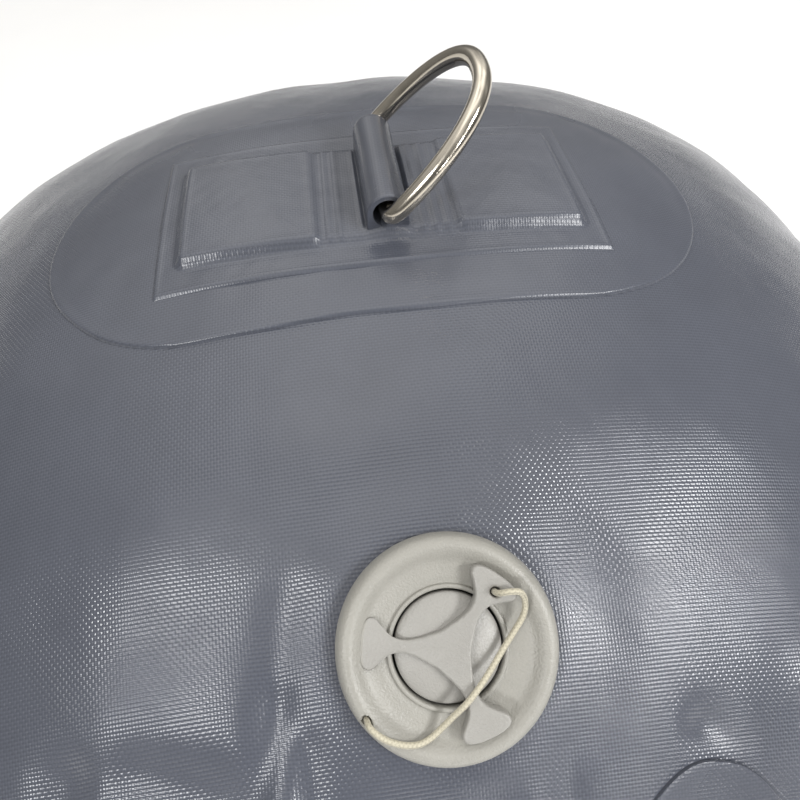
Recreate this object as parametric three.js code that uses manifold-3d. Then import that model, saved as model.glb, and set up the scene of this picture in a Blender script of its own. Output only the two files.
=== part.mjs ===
// An air-filled roll-top dry bag, lying on its flat back.
//
// Two welded panels make a pillow, with the fin seam in the plane SEAM_Z. The mouth is at -Y, where
// the collar is rolled round two stiffeners and held by a side strap and buckle at each end.
// On the top panel are a D-ring on a welded patch, and a twist valve whose cap hangs on a lanyard.
// Millimetres, +Z up. The pillow is built round its own centre; the last lines move the whole bag
// so that the middle of its footprint is the origin and its back lies on the plane z = 0.
import * as THREE from 'three';
import { mergeVertices } from 'three/addons/utils/BufferGeometryUtils.js';
import Module from 'manifold-3d';

const wasm = await Module();
wasm.setup();

// ---- pillow ----
const HALF_WIDTH = 263.8;
const HALF_LENGTH = 246.4;
const SEAM_Z = 118;             // height of the fin seam above the floor
const RISE = 170;               // crest above the seam
const DROP = 150;               // how far the back would sink if there were no floor
const EDGE_POWER = 1 / 1.879;   // below 1: the panels stand up steeply from the seam
const OUTLINE_POWER = 6;        // 2 is an ellipse, larger is squarer
const PINCUSHION = 0.06;        // how far the corners reach out past the middle of each side
const PATCH_FLAT = 6.15;        // how much the stiff D-ring patch holds the crest down
const PATCH_FLAT_X = 62;
const PATCH_FLAT_Y = 55;
const PATCH_FLAT_CENTRE_Y = 2;
const SKIN = 1.2;               // panel thickness
const SEAM_GAP = 0.4;           // the two fins' distance
const FIN = 12;                 // width of the welded fin
const AROUND = 56;
const RINGS = 11;

// ---- edge tape round the fin ----
const TAPE_GAP = 0.4;
const TAPE_SKIN = 1.0;
const TAPE_COVER = 9;           // how far it wraps over the fin

// ---- rolled collar ----
const COLLAR_HALF = 262;        // half of the mouth's width
const COLLAR_SKIN = 1.3;
const COLLAR_START = 255.5;     // where the collar leaves the pillow, along -Y
const ROLL_CENTRE = 289;        // centre of the roll, along -Y
const ROLL_TURNS = 3;
const ROLL_WIDE = 20;           // outer half size along Y
const ROLL_HIGH = 12.5;         // outer half size along Z
const ROLL_PITCH = 2.3;         // one layer and its gap
const ROLL_STEPS = 24;          // steps in one turn
const ROLL_LEAD = [[0, 0.5], [-9, 3.4]];  // from the tape to the roll: along y, and over the tape
const STIFFENER = { wide: 16, high: 1.8, gap: 1.2, short: 8 };

// ---- D-ring patch: heights above the panel ----
const PATCH = { half: [120.5, 60], centreY: 2, low: 0.7, high: 1.7 };
const COVER = { half: [77, 38.5], low: 2.3, high: 3.3, border: 10, lift: 3.6 };
const WINDOW = { x: [-8, 13], y: [-29, 29] };
const WEBBING = { near: 13, nearRight: 17, far: 62, half: 23, clearance: 0.4 };
const RING = { x: 2, y: 0, height: 10.4, wire: 3, lean: 45.5, width: 56.5, reach: 46, shape: 2.34 };
const SLEEVE = { length: 50, inner: 4.2, outer: 6.3, foot: 9, footThick: 1.6, footLow: 3.7, side: 1 };
const WELD_PATCH = { x: 66, y: -206, radius: 24, low: 0.5, high: 1.5 };  // small round patch near the mouth
const RING_STEPS = 30;
const RING_BAR_STEPS = 2;
const WIRE_SIDES = 10;

// ---- valve, in its own frame: z along the panel's normal, 0 on the panel ----
const VALVE_X = 0;
const VALVE_Y = -149.2;
const VALVE_TURN = -10;         // degrees, about the valve's own axis
const VALVE_HOLE = 16.9;
const SIDES = 36;
// Turned profiles, as [radius, height]. The flange is dished, with a raised lip round the cap's seat.
const FLANGE_PROFILE = [
  [16.3, 0.4], [28.1, -0.5], [28.8, 0.4], [28.5, 2.6], [27.4, 4.2], [25.6, 5.2], [24.4, 4.4],
  [23.8, 2.9], [22.6, 2.0], [19, 1.6], [15.8, 1.4], [15.5, 2.5], [14.9, 2.5], [14.5, 2.1],
  [14.5, -13], [16.3, -13],
];
const GASKET_PROFILE = [[17.4, -4.3], [24, -4.3], [24, -3.3], [17.4, -3.3]];
const NUT_PROFILE = [[16.8, -7], [24.5, -7], [24.5, -4.6], [16.8, -4.6]];
const NUT_LUG = { count: 6, size: [5, 4, 2.4], r: 24.5, z: -5.8 };
const SEAT_PROFILE = [[11.4, -12.7], [14.1, -12.7], [14.1, -11.3], [11.4, -11.3]];
const SEAT_HUB = { r: 3.2, bore: 1.9, low: -12.7, high: -11.3 };
const SEAT_SPOKE = { count: 3, size: [11, 2, 1.4], r: 6.5, z: -12 };
const PLUNGER = { stem: [1.5, -16.4, -7.2], button: [5, -8.0, -6.6], foot: [3, -17.4, -16] };
const PLUNGER_SEAL_PROFILE = [[1.9, -15.2], [14.4, -14.8], [14.4, -13.6], [1.9, -13.6]];
const CAP_PROFILE = [
  [0, -5.6], [12.6, -5.6], [12.6, -1.4], [13.9, -1.0], [13.9, 1.7], [12.8, 2.3], [9, 3.1], [4.5, 3.5], [0, 3.6],
];
const CAP_GROOVE_PROFILE = [[11.4, -4.4], [13, -4.4], [13, -2.4], [11.4, -2.4]];
const CAP_SEAL_PROFILE = [[11.8, -4.1], [14.1, -4.1], [14.1, -2.7], [11.8, -2.7]];
// One third of the three-armed handle's outline, for the arm that points along +x.
const HANDLE_THIRD = [
  [2.65, -4.6], [7.6, -2.5], [10.2, -1.75], [12.6, -1.65], [15, -2.4], [17.2, -4.3], [19, -6.1],
  [20.6, -6.3], [21.7, -5.1], [22.3, -2.6], [22.4, 0], [22.3, 2.6], [21.7, 5.1], [20.6, 6.3],
  [19, 6.1], [17.2, 4.3], [15, 2.4], [12.6, 1.65], [10.2, 1.75], [7.6, 2.5],
];
const HANDLE_ARMS = [58.5, 178.5, 298.5];
const HANDLE = { low: 2.7, blank: 8, middle: 6, tilt: 6.5 };  // the tilt leaves one lobe nearly flush
const CORD_HOLE_R = 1.35;
const CORD_HOLE = { r: 18.4, angle: 54 };
const RIM_HOLE = { r: 26.4, angle: 221 };
const CORD_R = 0.8;
const CORD_STEPS = 66;
// The lanyard from the hole in the cap's lobe, over the handle and the rim, into the rim's hole.
const LANYARD_ROUTE = [
  [10.8, 14.9, 4.2], [10.8, 14.9, 7.8], [11.6, 15.2, 10.0], [13.8, 15.8, 11.0], [16.5, 15.5, 9.9],
  [18.2, 13.1, 7.6], [18.4, 9.6, 5.8], [16.7, 5.8, 4.9], [13.8, 1.2, 4.9], [10.6, -3.4, 6.2],
  [7.2, -7.6, 8.0], [4.2, -11.4, 8.0], [1.4, -15, 6.2], [-1.4, -18.6, 4.6], [-3.8, -20.9, 4.4],
  [-6.6, -22.1, 5.2], [-9.5, -22.2, 5.9], [-12.3, -21.7, 6.4], [-14.9, -20.7, 7.1],
  [-17.4, -19.2, 7.5], [-19.2, -18.0, 6.6], [-19.9, -17.4, 4.0], [-19.92, -17.32, 0.9],
];

// ---- side straps and buckles ----
const STRAP = { wide: 25, thick: 1.6 };
const STRAP_PATCH = { y: -26, half: [20, 17], thick: 1.0, out: 2.2 };
const STRAP_START_Y = -8;
const STRAP_END_Y = -46;
const STRAP_CLEAR_Y = -100;     // where the strap has come out to the buckle's line
const STRAP_FOLD = 1.9;         // from the buckle's middle to each run of the strap
const SIDE_FOLD_END_Y = -128;
const ROLL_TAB = { past: 15, near: 8, gap: 0.5, leave: -238, foldEnd: -222 };
// The buckle lies on edge; y is measured from the female part's mouth.
const BUCKLE = { thick: 9, halfWidth: 16.5, corner: 4, mouthY: -184, out: 9.4 };
const FEMALE = {
  length: 38, slotY: 30.6, cavity: [5.2, 26, 29.2], cavityY: 12, window: [5.2, 13, 37], windowY: 14.5,
};
const MALE = {
  thick: 7.6, low: -15.95, high: -0.45, halfWidth: 15.5, slotY: -10.1,
  prong: [4.2, 23.6, 3.4], prongY: 9.8, prongZ: 11, barb: [4.2, 9, 4.6], barbY: 15, barbZ: 12,
  guide: [4.2, 21.6, 5], guideY: 8.8,
};
const SLOT = { through: 20, wide: 4.4, clearance: 1.6 };
const RELIEF = { deep: 6, out: 3.9, beyond: 4, length: 8 };  // thins the bar beside a slot for the strap

const fabric = new THREE.MeshStandardMaterial({ color: 0x6d7078, roughness: 0.42, metalness: 0 });
const webbing = new THREE.MeshStandardMaterial({ color: 0x55585f, roughness: 0.85, metalness: 0 });
const plastic = new THREE.MeshStandardMaterial({ color: 0xb4b1aa, roughness: 0.5, metalness: 0 });
const dark = new THREE.MeshStandardMaterial({ color: 0x1d1e20, roughness: 0.55, metalness: 0 });
const rubber = new THREE.MeshStandardMaterial({ color: 0x2a2a2c, roughness: 0.8, metalness: 0 });
const steel = new THREE.MeshStandardMaterial({ color: 0xb9b2a4, roughness: 0.16, metalness: 1 });
const cord = new THREE.MeshStandardMaterial({ color: 0xc9bd9c, roughness: 0.8, metalness: 0 });

const bag = new THREE.Group();

function place(name, geometry, material, parent = bag) {
  const mesh = new THREE.Mesh(geometry, material);
  mesh.name = name;
  parent.add(mesh);
  return mesh;
}

// ---- solids and booleans ----

function bare(geometry) {
  const copy = geometry.clone();
  copy.deleteAttribute('normal');
  copy.deleteAttribute('uv');
  return mergeVertices(copy, 1e-5);
}

function toSolid(geometry) {
  const closed = bare(geometry);
  return new wasm.Manifold(new wasm.Mesh({
    numProp: 3,
    vertProperties: new Float32Array(closed.attributes.position.array),
    triVerts: new Uint32Array(closed.index.array),
  }));
}

function toGeometry(solid) {
  const mesh = solid.getMesh();
  const geometry = new THREE.BufferGeometry();
  geometry.setAttribute('position', new THREE.BufferAttribute(mesh.vertProperties, 3));
  geometry.setIndex(new THREE.BufferAttribute(mesh.triVerts, 1));
  return geometry;
}

function cut(geometry, ...tools) {
  return toGeometry(tools.reduce((rest, tool) => rest.subtract(toSolid(tool)), toSolid(geometry)));
}

function join(geometry, ...more) {
  return toGeometry(more.reduce((sum, piece) => sum.add(toSolid(piece)), toSolid(geometry)));
}

function spread(from, to, count) {
  return Array.from({ length: count + 1 }, (_, i) => from + ((to - from) * i) / count);
}

// A closed surface from rings of the same number of points; a ring of one point is a pole.
// Without poles the last ring meets the first. flip turns the faces the other way.
function fromRings(rings, flip = false) {
  const positions = [];
  const faces = [];
  const starts = rings.map((ring) => {
    const start = positions.length / 3;
    ring.forEach((point) => positions.push(...point));
    return start;
  });
  const addFace = (a, b, c) => faces.push(...(flip ? [a, c, b] : [a, b, c]));
  const poles = rings[0].length === 1;
  const bands = poles ? rings.length - 1 : rings.length;
  for (let i = 0; i < bands; i += 1) {
    const j = (i + 1) % rings.length;
    const count = Math.max(rings[i].length, rings[j].length);
    for (let k = 0; k < count; k += 1) {
      const next = (k + 1) % count;
      if (rings[i].length === 1) {
        addFace(starts[i], starts[j] + k, starts[j] + next);
      } else if (rings[j].length === 1) {
        addFace(starts[i] + next, starts[i] + k, starts[j]);
      } else {
        addFace(starts[i] + k, starts[j] + k, starts[j] + next);
        addFace(starts[i] + k, starts[j] + next, starts[i] + next);
      }
    }
  }
  const geometry = new THREE.BufferGeometry();
  geometry.setAttribute('position', new THREE.BufferAttribute(new Float32Array(positions), 3));
  geometry.setIndex(faces);
  return geometry;
}

function extrude(shape, depth, steps = 1, curveSegments = 8) {
  return new THREE.ExtrudeGeometry(shape, { depth, steps, curveSegments, bevelEnabled: false });
}

// A profile of [radius, height] points turned about z.
function lathe(points, sides = SIDES) {
  const profile = points.map(([r, z]) => new THREE.Vector2(r, z));
  return new THREE.LatheGeometry(profile, sides).rotateX(Math.PI / 2);
}

function ringOf(points) {
  return lathe([...points, points[0]]);
}

function box(sizeX, sizeY, sizeZ, x, y, z) {
  return new THREE.BoxGeometry(sizeX, sizeY, sizeZ).translate(x, y, z);
}

// Copies of a box set out round z at equal angles.
function boxesRound({ count, size, r, z }) {
  return Array.from({ length: count }, (_, i) => box(...size, r, 0, z).rotateZ((i * 2 * Math.PI) / count));
}

function shapeOf(points) {
  return new THREE.Shape(points.map(([x, y]) => new THREE.Vector2(x, y)));
}

// Turns a shape drawn in (y, z) and extruded along its own z to lie along x, centred on x = 0.
function acrossX(geometry) {
  geometry.applyMatrix4(new THREE.Matrix4().makeBasis(
    new THREE.Vector3(0, 1, 0),
    new THREE.Vector3(0, 0, 1),
    new THREE.Vector3(1, 0, 0),
  ));
  geometry.computeBoundingBox();
  const { min, max } = geometry.boundingBox;
  return geometry.translate(-(min.x + max.x) / 2, 0, 0);
}

// ---- the pillow's surface ----

// The pillow in its own square: level is 0 at the crest and 1 on the outline.
function fullness(u, v) {
  const round = u * u + v * v;
  const level = (Math.abs(u) ** OUTLINE_POWER + Math.abs(v) ** OUTLINE_POWER) ** (1 / OUTLINE_POWER);
  return Math.max(0, 1 - round + level ** 3 * (round - level * level)) ** EDGE_POWER;
}

function crestDip(x, y) {
  return PATCH_FLAT * Math.exp(-((x / PATCH_FLAT_X) ** 2) - ((y - PATCH_FLAT_CENTRE_Y) / PATCH_FLAT_Y) ** 2);
}

// A place in plan: level runs from 0 in the middle to 1 on the outline, turn is the direction.
function planPoint(level, turn, grow = 0) {
  const c = Math.cos(turn);
  const s = Math.sin(turn);
  const radius = level / (Math.abs(c) ** OUTLINE_POWER + Math.abs(s) ** OUTLINE_POWER) ** (1 / OUTLINE_POWER);
  const U = c * radius;
  const V = s * radius;
  return {
    U,
    V,
    x: (HALF_WIDTH + grow) * U * (1 + PINCUSHION * V * V),
    y: (HALF_LENGTH + grow) * V * (1 + PINCUSHION * U * U),
  };
}

// The top panel's outer height over a place on the bag.
function topZ(x, y) {
  let u = x / HALF_WIDTH;
  let v = y / HALF_LENGTH;
  for (let i = 0; i < 6; i += 1) {
    u = x / HALF_WIDTH / (1 + PINCUSHION * v * v);
    v = y / HALF_LENGTH / (1 + PINCUSHION * u * u);
  }
  return SEAM_Z + RISE * fullness(u, v) - crestDip(x, y);
}

function topNormal(x, y) {
  const step = 0.5;
  const slopeX = (topZ(x + step, y) - topZ(x - step, y)) / (2 * step);
  const slopeY = (topZ(x, y + step) - topZ(x, y - step)) / (2 * step);
  return new THREE.Vector3(-slopeX, -slopeY, 1).normalize();
}

// ---- panels and seam ----

const turns = Array.from({ length: AROUND }, (_, k) => ((k + 0.5) / AROUND) * 2 * Math.PI);
const levels = Array.from({ length: RINGS }, (_, i) => Math.sin((Math.PI / 2) * ((i + 1) / RINGS)));

function ringAt(level, grow, height) {
  return turns.map((turn) => {
    const p = planPoint(level, turn, grow);
    return [p.x, p.y, height(p)];
  });
}

function topPanel() {
  const finLow = SEAM_Z + SEAM_GAP / 2;
  const finHigh = finLow + SKIN;
  const outer = (p) => Math.max(finHigh, SEAM_Z + RISE * fullness(p.U, p.V) - crestDip(p.x, p.y));
  const inner = (p) => Math.max(finLow, SEAM_Z + (RISE - SKIN) * fullness(p.U, p.V) - crestDip(p.x, p.y));
  const crest = SEAM_Z + RISE - crestDip(0, 0);
  const rings = [
    [[0, 0, crest]],
    ...levels.map((level) => ringAt(level, 0, outer)),
    ringAt(1, FIN, () => finHigh),
    ringAt(1, FIN, () => finLow),
    ...[...levels].reverse().map((level) => ringAt(level, -SKIN, inner)),
    [[0, 0, crest - SKIN]],
  ];
  return fromRings(rings);
}

function bottomPanel() {
  const finHigh = SEAM_Z - SEAM_GAP / 2;
  const finLow = finHigh - SKIN;
  const outer = (p) => Math.max(0, Math.min(finLow, SEAM_Z - DROP * fullness(p.U, p.V)));
  const inner = (p) => Math.max(SKIN, Math.min(finHigh, SEAM_Z - (DROP - SKIN) * fullness(p.U, p.V)));
  const rings = [
    [[0, 0, 0]],
    ...levels.map((level) => ringAt(level, 0, outer)),
    ringAt(1, FIN, () => finLow),
    ringAt(1, FIN, () => finHigh),
    ...[...levels].reverse().map((level) => ringAt(level, -SKIN, inner)),
    [[0, 0, SKIN]],
  ];
  return fromRings(rings, true);
}

// A tape folded over the fin's edge: a C-shaped section carried round the outline.
function seamTape() {
  const finTop = SEAM_GAP / 2 + SKIN;
  const inside = finTop + TAPE_GAP;
  const outside = inside + TAPE_SKIN;
  const from = FIN - TAPE_COVER;
  const section = [
    [from, inside],
    [from, outside],
    [FIN + TAPE_GAP + TAPE_SKIN, outside],
    [FIN + TAPE_GAP + TAPE_SKIN, -outside],
    [from, -outside],
    [from, -inside],
    [FIN + TAPE_GAP, -inside],
    [FIN + TAPE_GAP, inside],
  ];
  return fromRings(section.map(([grow, dz]) => ringAt(1, grow, () => SEAM_Z + dz)));
}

// ---- rolled collar ----

// One point of the winding: turn 0 is the top of the roll, and the collar winds away from the bag first.
function rollPoint(turn, inset) {
  const shrink = (ROLL_PITCH * turn) / (2 * Math.PI) + inset;
  const angle = Math.PI / 2 + turn;
  return [
    -ROLL_CENTRE + (ROLL_WIDE - shrink) * Math.cos(angle),
    SEAM_Z + (ROLL_HIGH - shrink) * Math.sin(angle),
  ];
}

// The collar leaves the seam tape flat, climbs over the roll and winds inwards.
function rolledCollar() {
  const tapeTop = SEAM_Z + SEAM_GAP / 2 + SKIN + TAPE_GAP + TAPE_SKIN;
  const lead = ROLL_LEAD.map(([dy, dz]) => [dy - COLLAR_START, tapeTop + dz]);
  const steps = ROLL_TURNS * ROLL_STEPS;
  const winding = Array.from({ length: steps + 1 }, (_, i) => (i / ROLL_STEPS) * 2 * Math.PI);
  const outline = [
    ...lead.map(([y, z]) => [y, z + COLLAR_SKIN]),
    ...winding.map((turn) => rollPoint(turn, 0)),
    ...winding.map((turn) => rollPoint(turn, COLLAR_SKIN)).reverse(),
    ...[...lead].reverse(),
  ];
  return acrossX(extrude(shapeOf(outline), 2 * COLLAR_HALF));
}

function stiffener(side) {
  const z = SEAM_Z + side * (STIFFENER.high + STIFFENER.gap) / 2;
  return box(2 * COLLAR_HALF - STIFFENER.short, STIFFENER.wide, STIFFENER.high, 0, -ROLL_CENTRE, z);
}

// ---- D-ring patch ----

// A round-ended sheet lying over the panel between two heights.
function ovalSheet(halfX, halfY, centreX, centreY, low, high) {
  const straight = halfX - halfY;
  const halfTurn = spread(-Math.PI / 2, Math.PI / 2, 12);
  const rightEnd = halfTurn.map((turn) => [straight + halfY * Math.cos(turn), halfY * Math.sin(turn)]);
  const run = straight > 0 ? spread(straight, -straight, 6).slice(1, -1) : [];
  const ends = straight > 0 ? rightEnd : rightEnd.slice(0, -1);
  const rightHalf = [...ends, ...run.map((x) => [x, halfY])];
  const outline = [...rightHalf, ...rightHalf.map(([x, y]) => [-x, -y])];
  const shares = spread(0, 1, 5).slice(1);
  const over = (x, y, height) => [x, y, topZ(x, y) + height];
  const ring = (share, height) => outline.map(([x, y]) => (
    over(centreX + x * share, centreY + y * share, height)
  ));
  const pole = (height) => [over(centreX, centreY, height)];
  return fromRings([
    pole(high),
    ...shares.map((share) => ring(share, high)),
    ...[...shares].reverse().map((share) => ring(share, low)),
    pole(low),
  ]);
}

// A sheet on a grid over the panel. heightLow and heightHigh are heights above the panel, and
// skip tells which cells are left open.
function gridSheet(xs, ys, heightLow, heightHigh, skip = () => false) {
  const positions = [];
  const faces = [];
  const index = new Map();
  const vertex = (i, j, top) => {
    const key = `${i},${j},${top}`;
    if (!index.has(key)) {
      index.set(key, positions.length / 3);
      const height = (top ? heightHigh : heightLow)(xs[i], ys[j]);
      positions.push(xs[i], ys[j], topZ(xs[i], ys[j]) + height);
    }
    return index.get(key);
  };
  const solid = (i, j) => i >= 0 && j >= 0 && i < xs.length - 1 && j < ys.length - 1 && !skip(i, j);
  const quad = (a, b, c, d) => faces.push(a, b, c, a, c, d);
  for (let i = 0; i < xs.length - 1; i += 1) {
    for (let j = 0; j < ys.length - 1; j += 1) {
      if (solid(i, j)) {
        quad(vertex(i, j, 1), vertex(i + 1, j, 1), vertex(i + 1, j + 1, 1), vertex(i, j + 1, 1));
        quad(vertex(i, j, 0), vertex(i, j + 1, 0), vertex(i + 1, j + 1, 0), vertex(i + 1, j, 0));
        const sides = [
          [0, -1, [i, j], [i + 1, j]],
          [1, 0, [i + 1, j], [i + 1, j + 1]],
          [0, 1, [i + 1, j + 1], [i, j + 1]],
          [-1, 0, [i, j + 1], [i, j]],
        ];
        sides.filter(([di, dj]) => !solid(i + di, j + dj)).forEach(([, , from, to]) => {
          quad(vertex(...from, 0), vertex(...to, 0), vertex(...to, 1), vertex(...from, 1));
        });
      }
    }
  }
  const geometry = new THREE.BufferGeometry();
  geometry.setAttribute('position', new THREE.BufferAttribute(new Float32Array(positions), 3));
  geometry.setIndex(faces);
  return geometry;
}

// The cover sheet lies flat at its border and rises over the webbing, with a window for the sleeve.
function coverSheet() {
  const [halfX, halfY] = COVER.half;
  const rise = (x, y) => {
    const inX = Math.min(1, (halfX - Math.abs(x)) / COVER.border);
    const inY = Math.min(1, (halfY - Math.abs(y)) / COVER.border);
    return COVER.lift * Math.max(0, Math.min(inX, inY));
  };
  const edgeX = halfX - COVER.border;
  const edgeY = halfY - COVER.border;
  const xs = [-halfX, ...spread(-edgeX, WINDOW.x[0], 3), ...spread(WINDOW.x[1], edgeX, 3), halfX];
  const ys = [-halfY, WINDOW.y[0], ...spread(-edgeY, edgeY, 4).slice(1, -1), WINDOW.y[1], halfY];
  const inWindow = (i, j) => xs[i] >= WINDOW.x[0] && xs[i + 1] <= WINDOW.x[1]
    && ys[j] >= WINDOW.y[0] && ys[j + 1] <= WINDOW.y[1];
  return gridSheet(xs, ys, (x, y) => COVER.low + rise(x, y), (x, y) => COVER.high + rise(x, y), inWindow);
}

function webbingTail(side) {
  const ends = side < 0 ? [-WEBBING.far, -WEBBING.near] : [WEBBING.nearRight, WEBBING.far];
  const xs = spread(...ends, 3);
  const ys = spread(-WEBBING.half, WEBBING.half, 4);
  return gridSheet(xs, ys, () => COVER.low, () => COVER.low + COVER.lift - WEBBING.clearance);
}

function weldPatch() {
  const { x, y, radius, low, high } = WELD_PATCH;
  return ovalSheet(radius, radius, x, y, low, high);
}

const ringBase = topZ(RING.x, RING.y);
const ringZ = ringBase + RING.height;

// The webbing folded round the ring's bar, drawn in (x, z) and extruded along y.
function ringSleeve() {
  const footZ = ringBase + SLEEVE.footLow;
  const shape = new THREE.Shape();
  shape.moveTo(-SLEEVE.foot, footZ);
  shape.lineTo(SLEEVE.foot, footZ);
  shape.lineTo(SLEEVE.foot, footZ + SLEEVE.footThick);
  shape.lineTo(SLEEVE.outer, ringZ - SLEEVE.side);
  shape.absarc(0, ringZ, SLEEVE.outer, 0, Math.PI, false);
  shape.lineTo(-SLEEVE.outer, ringZ - SLEEVE.side);
  shape.lineTo(-SLEEVE.foot, footZ + SLEEVE.footThick);
  const hole = new THREE.Path();
  hole.absarc(0, ringZ, SLEEVE.inner, 0, 2 * Math.PI, true);
  shape.holes.push(hole);
  const sleeve = extrude(shape, SLEEVE.length, 1, 10).rotateX(Math.PI / 2);
  return sleeve.translate(RING.x, RING.y + SLEEVE.length / 2, 0);
}

// The ring's centre line: a straight bar along y and a bow, closed, in the plane x = 0.
function ringCentreLine() {
  const half = RING.width / 2;
  const power = 2 / RING.shape;
  const bow = Array.from({ length: RING_STEPS + 1 }, (_, i) => {
    const turn = (i / RING_STEPS) * Math.PI;
    const c = Math.cos(turn);
    return [half * Math.sign(c) * Math.abs(c) ** power, RING.reach * Math.sin(turn) ** power];
  });
  const bar = spread(-half, half, RING_BAR_STEPS + 1).slice(1, -1).map((y) => [y, 0]);
  return [...bow, ...bar];
}

function dRing() {
  const line = ringCentreLine();
  const rings = line.map(([y, z], i) => {
    const before = line[(i + line.length - 1) % line.length];
    const after = line[(i + 1) % line.length];
    const into = new THREE.Vector2(y - before[0], z - before[1]).normalize();
    const out = new THREE.Vector2(after[0] - y, after[1] - z).normalize();
    const along = into.clone().add(out).normalize();
    const stretch = 1 / Math.max(0.7, along.dot(out));
    return Array.from({ length: WIRE_SIDES }, (_, k) => {
      const turn = (k / WIRE_SIDES) * 2 * Math.PI;
      const across = RING.wire * Math.cos(turn) * stretch;
      return [RING.wire * Math.sin(turn), y + across * along.y, z - across * along.x];
    });
  });
  return fromRings(rings);
}

// ---- valve ----

const valveFrame = new THREE.Group();
valveFrame.position.set(VALVE_X, VALVE_Y, topZ(VALVE_X, VALVE_Y));
const valveNormal = topNormal(VALVE_X, VALVE_Y);
const valveX = new THREE.Vector3(1, 0, 0).addScaledVector(valveNormal, -valveNormal.x).normalize();
const valveYAxis = valveNormal.clone().cross(valveX);
valveFrame.quaternion.setFromRotationMatrix(new THREE.Matrix4().makeBasis(valveX, valveYAxis, valveNormal));
valveFrame.rotateZ(THREE.MathUtils.degToRad(VALVE_TURN));
valveFrame.updateMatrix();

function polar(radius, degrees) {
  const turn = THREE.MathUtils.degToRad(degrees);
  return [radius * Math.cos(turn), radius * Math.sin(turn)];
}

function rod(radius, low, high, x = 0, y = 0, sides = 24) {
  return new THREE.CylinderGeometry(radius, radius, high - low, sides).rotateX(Math.PI / 2)
    .translate(x, y, (low + high) / 2);
}

// The dished flange and the tube below it, with the lanyard's hole in its rim.
function valveBody() {
  return cut(ringOf(FLANGE_PROFILE), rod(CORD_HOLE_R, -2, 7, ...polar(RIM_HOLE.r, RIM_HOLE.angle), 12));
}

function valveNut() {
  return join(ringOf(NUT_PROFILE), ...boxesRound(NUT_LUG));
}

function valveSeat() {
  const { r, bore, low, high } = SEAT_HUB;
  const wheel = join(ringOf(SEAT_PROFILE), rod(r, low, high), ...boxesRound(SEAT_SPOKE));
  return cut(wheel, rod(bore, low - 1, high + 1));
}

function plunger() {
  return join(rod(...PLUNGER.stem), rod(...PLUNGER.button), rod(...PLUNGER.foot));
}

function handle() {
  const points = HANDLE_ARMS.flatMap((degrees) => {
    const turn = THREE.MathUtils.degToRad(degrees);
    return HANDLE_THIRD.map(([x, y]) => new THREE.Vector2(x, y).rotateAround(new THREE.Vector2(), turn));
  });
  const blank = extrude(new THREE.Shape(points), HANDLE.blank).translate(0, 0, HANDLE.low);
  const above = box(60, 60, 20, 0, 0, 10);
  above.rotateY(-THREE.MathUtils.degToRad(HANDLE.tilt)).translate(0, 0, HANDLE.middle);
  return cut(blank, above);
}

function cap() {
  const cordHole = rod(CORD_HOLE_R, 0, 12, ...polar(CORD_HOLE.r, CORD_HOLE.angle), 12);
  return cut(join(lathe(CAP_PROFILE), handle()), cordHole, ringOf(CAP_GROOVE_PROFILE));
}

function lanyard() {
  const path = new THREE.CatmullRomCurve3(LANYARD_ROUTE.map((p) => new THREE.Vector3(...p)));
  const section = new THREE.Shape();
  section.absarc(0, 0, CORD_R, 0, 2 * Math.PI, false);
  return new THREE.ExtrudeGeometry(section, { extrudePath: path, steps: CORD_STEPS, curveSegments: 4 });
}

// ---- side straps and buckles, made for the right side; side -1 mirrors them ----

const finSide = planPoint(1, 0, FIN + TAPE_GAP + TAPE_SKIN).x;

function mirrored(geometry, side) {
  if (side > 0) {
    return geometry;
  }
  const flipped = bare(geometry).applyMatrix4(new THREE.Matrix4().makeScale(-1, 1, 1));
  const order = flipped.index.array;
  for (let i = 0; i < order.length; i += 3) {
    [order[i], order[i + 1]] = [order[i + 1], order[i]];
  }
  return flipped;
}

// A strap standing on edge: a route in (x, y) thickened sideways and extruded along z.
function ribbon(route, thickness, width) {
  const points = route.map(([x, y]) => new THREE.Vector2(x, y));
  const sideOf = (i) => {
    const before = points[Math.max(0, i - 1)];
    const after = points[Math.min(points.length - 1, i + 1)];
    const into = i === 0 ? after.clone().sub(points[i]) : points[i].clone().sub(before);
    const out = i === points.length - 1 ? into.clone() : after.clone().sub(points[i]);
    const along = into.normalize().add(out.normalize()).normalize();
    const reach = 1 / Math.max(0.6, along.dot(out));
    return new THREE.Vector2(-along.y, along.x).multiplyScalar((reach * thickness) / 2);
  };
  const left = points.map((p, i) => p.clone().add(sideOf(i)));
  const right = points.map((p, i) => p.clone().sub(sideOf(i)));
  const shape = new THREE.Shape([...left, ...right.reverse()]);
  return extrude(shape, width).translate(0, 0, SEAM_Z - width / 2);
}

const buckleX = finSide + BUCKLE.out;

function strapPatch() {
  const [halfY, halfZ] = STRAP_PATCH.half;
  return box(STRAP_PATCH.thick, 2 * halfY, 2 * halfZ, finSide + STRAP_PATCH.out, STRAP_PATCH.y, SEAM_Z);
}

// From the patch on the fin, round the female buckle's bar and back.
function sideStrap() {
  const near = finSide + STRAP_PATCH.out + STRAP_PATCH.thick / 2 + TAPE_GAP + STRAP.thick / 2;
  const inner = buckleX - STRAP_FOLD;
  const outer = buckleX + STRAP_FOLD;
  const bar = BUCKLE.mouthY + FEMALE.slotY + TAPE_GAP;
  return ribbon([
    [near, STRAP_START_Y], [near, STRAP_END_Y], [outer, STRAP_CLEAR_Y], [outer, bar], [inner, bar],
    [inner, SIDE_FOLD_END_Y],
  ], STRAP.thick, STRAP.wide);
}

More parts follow.
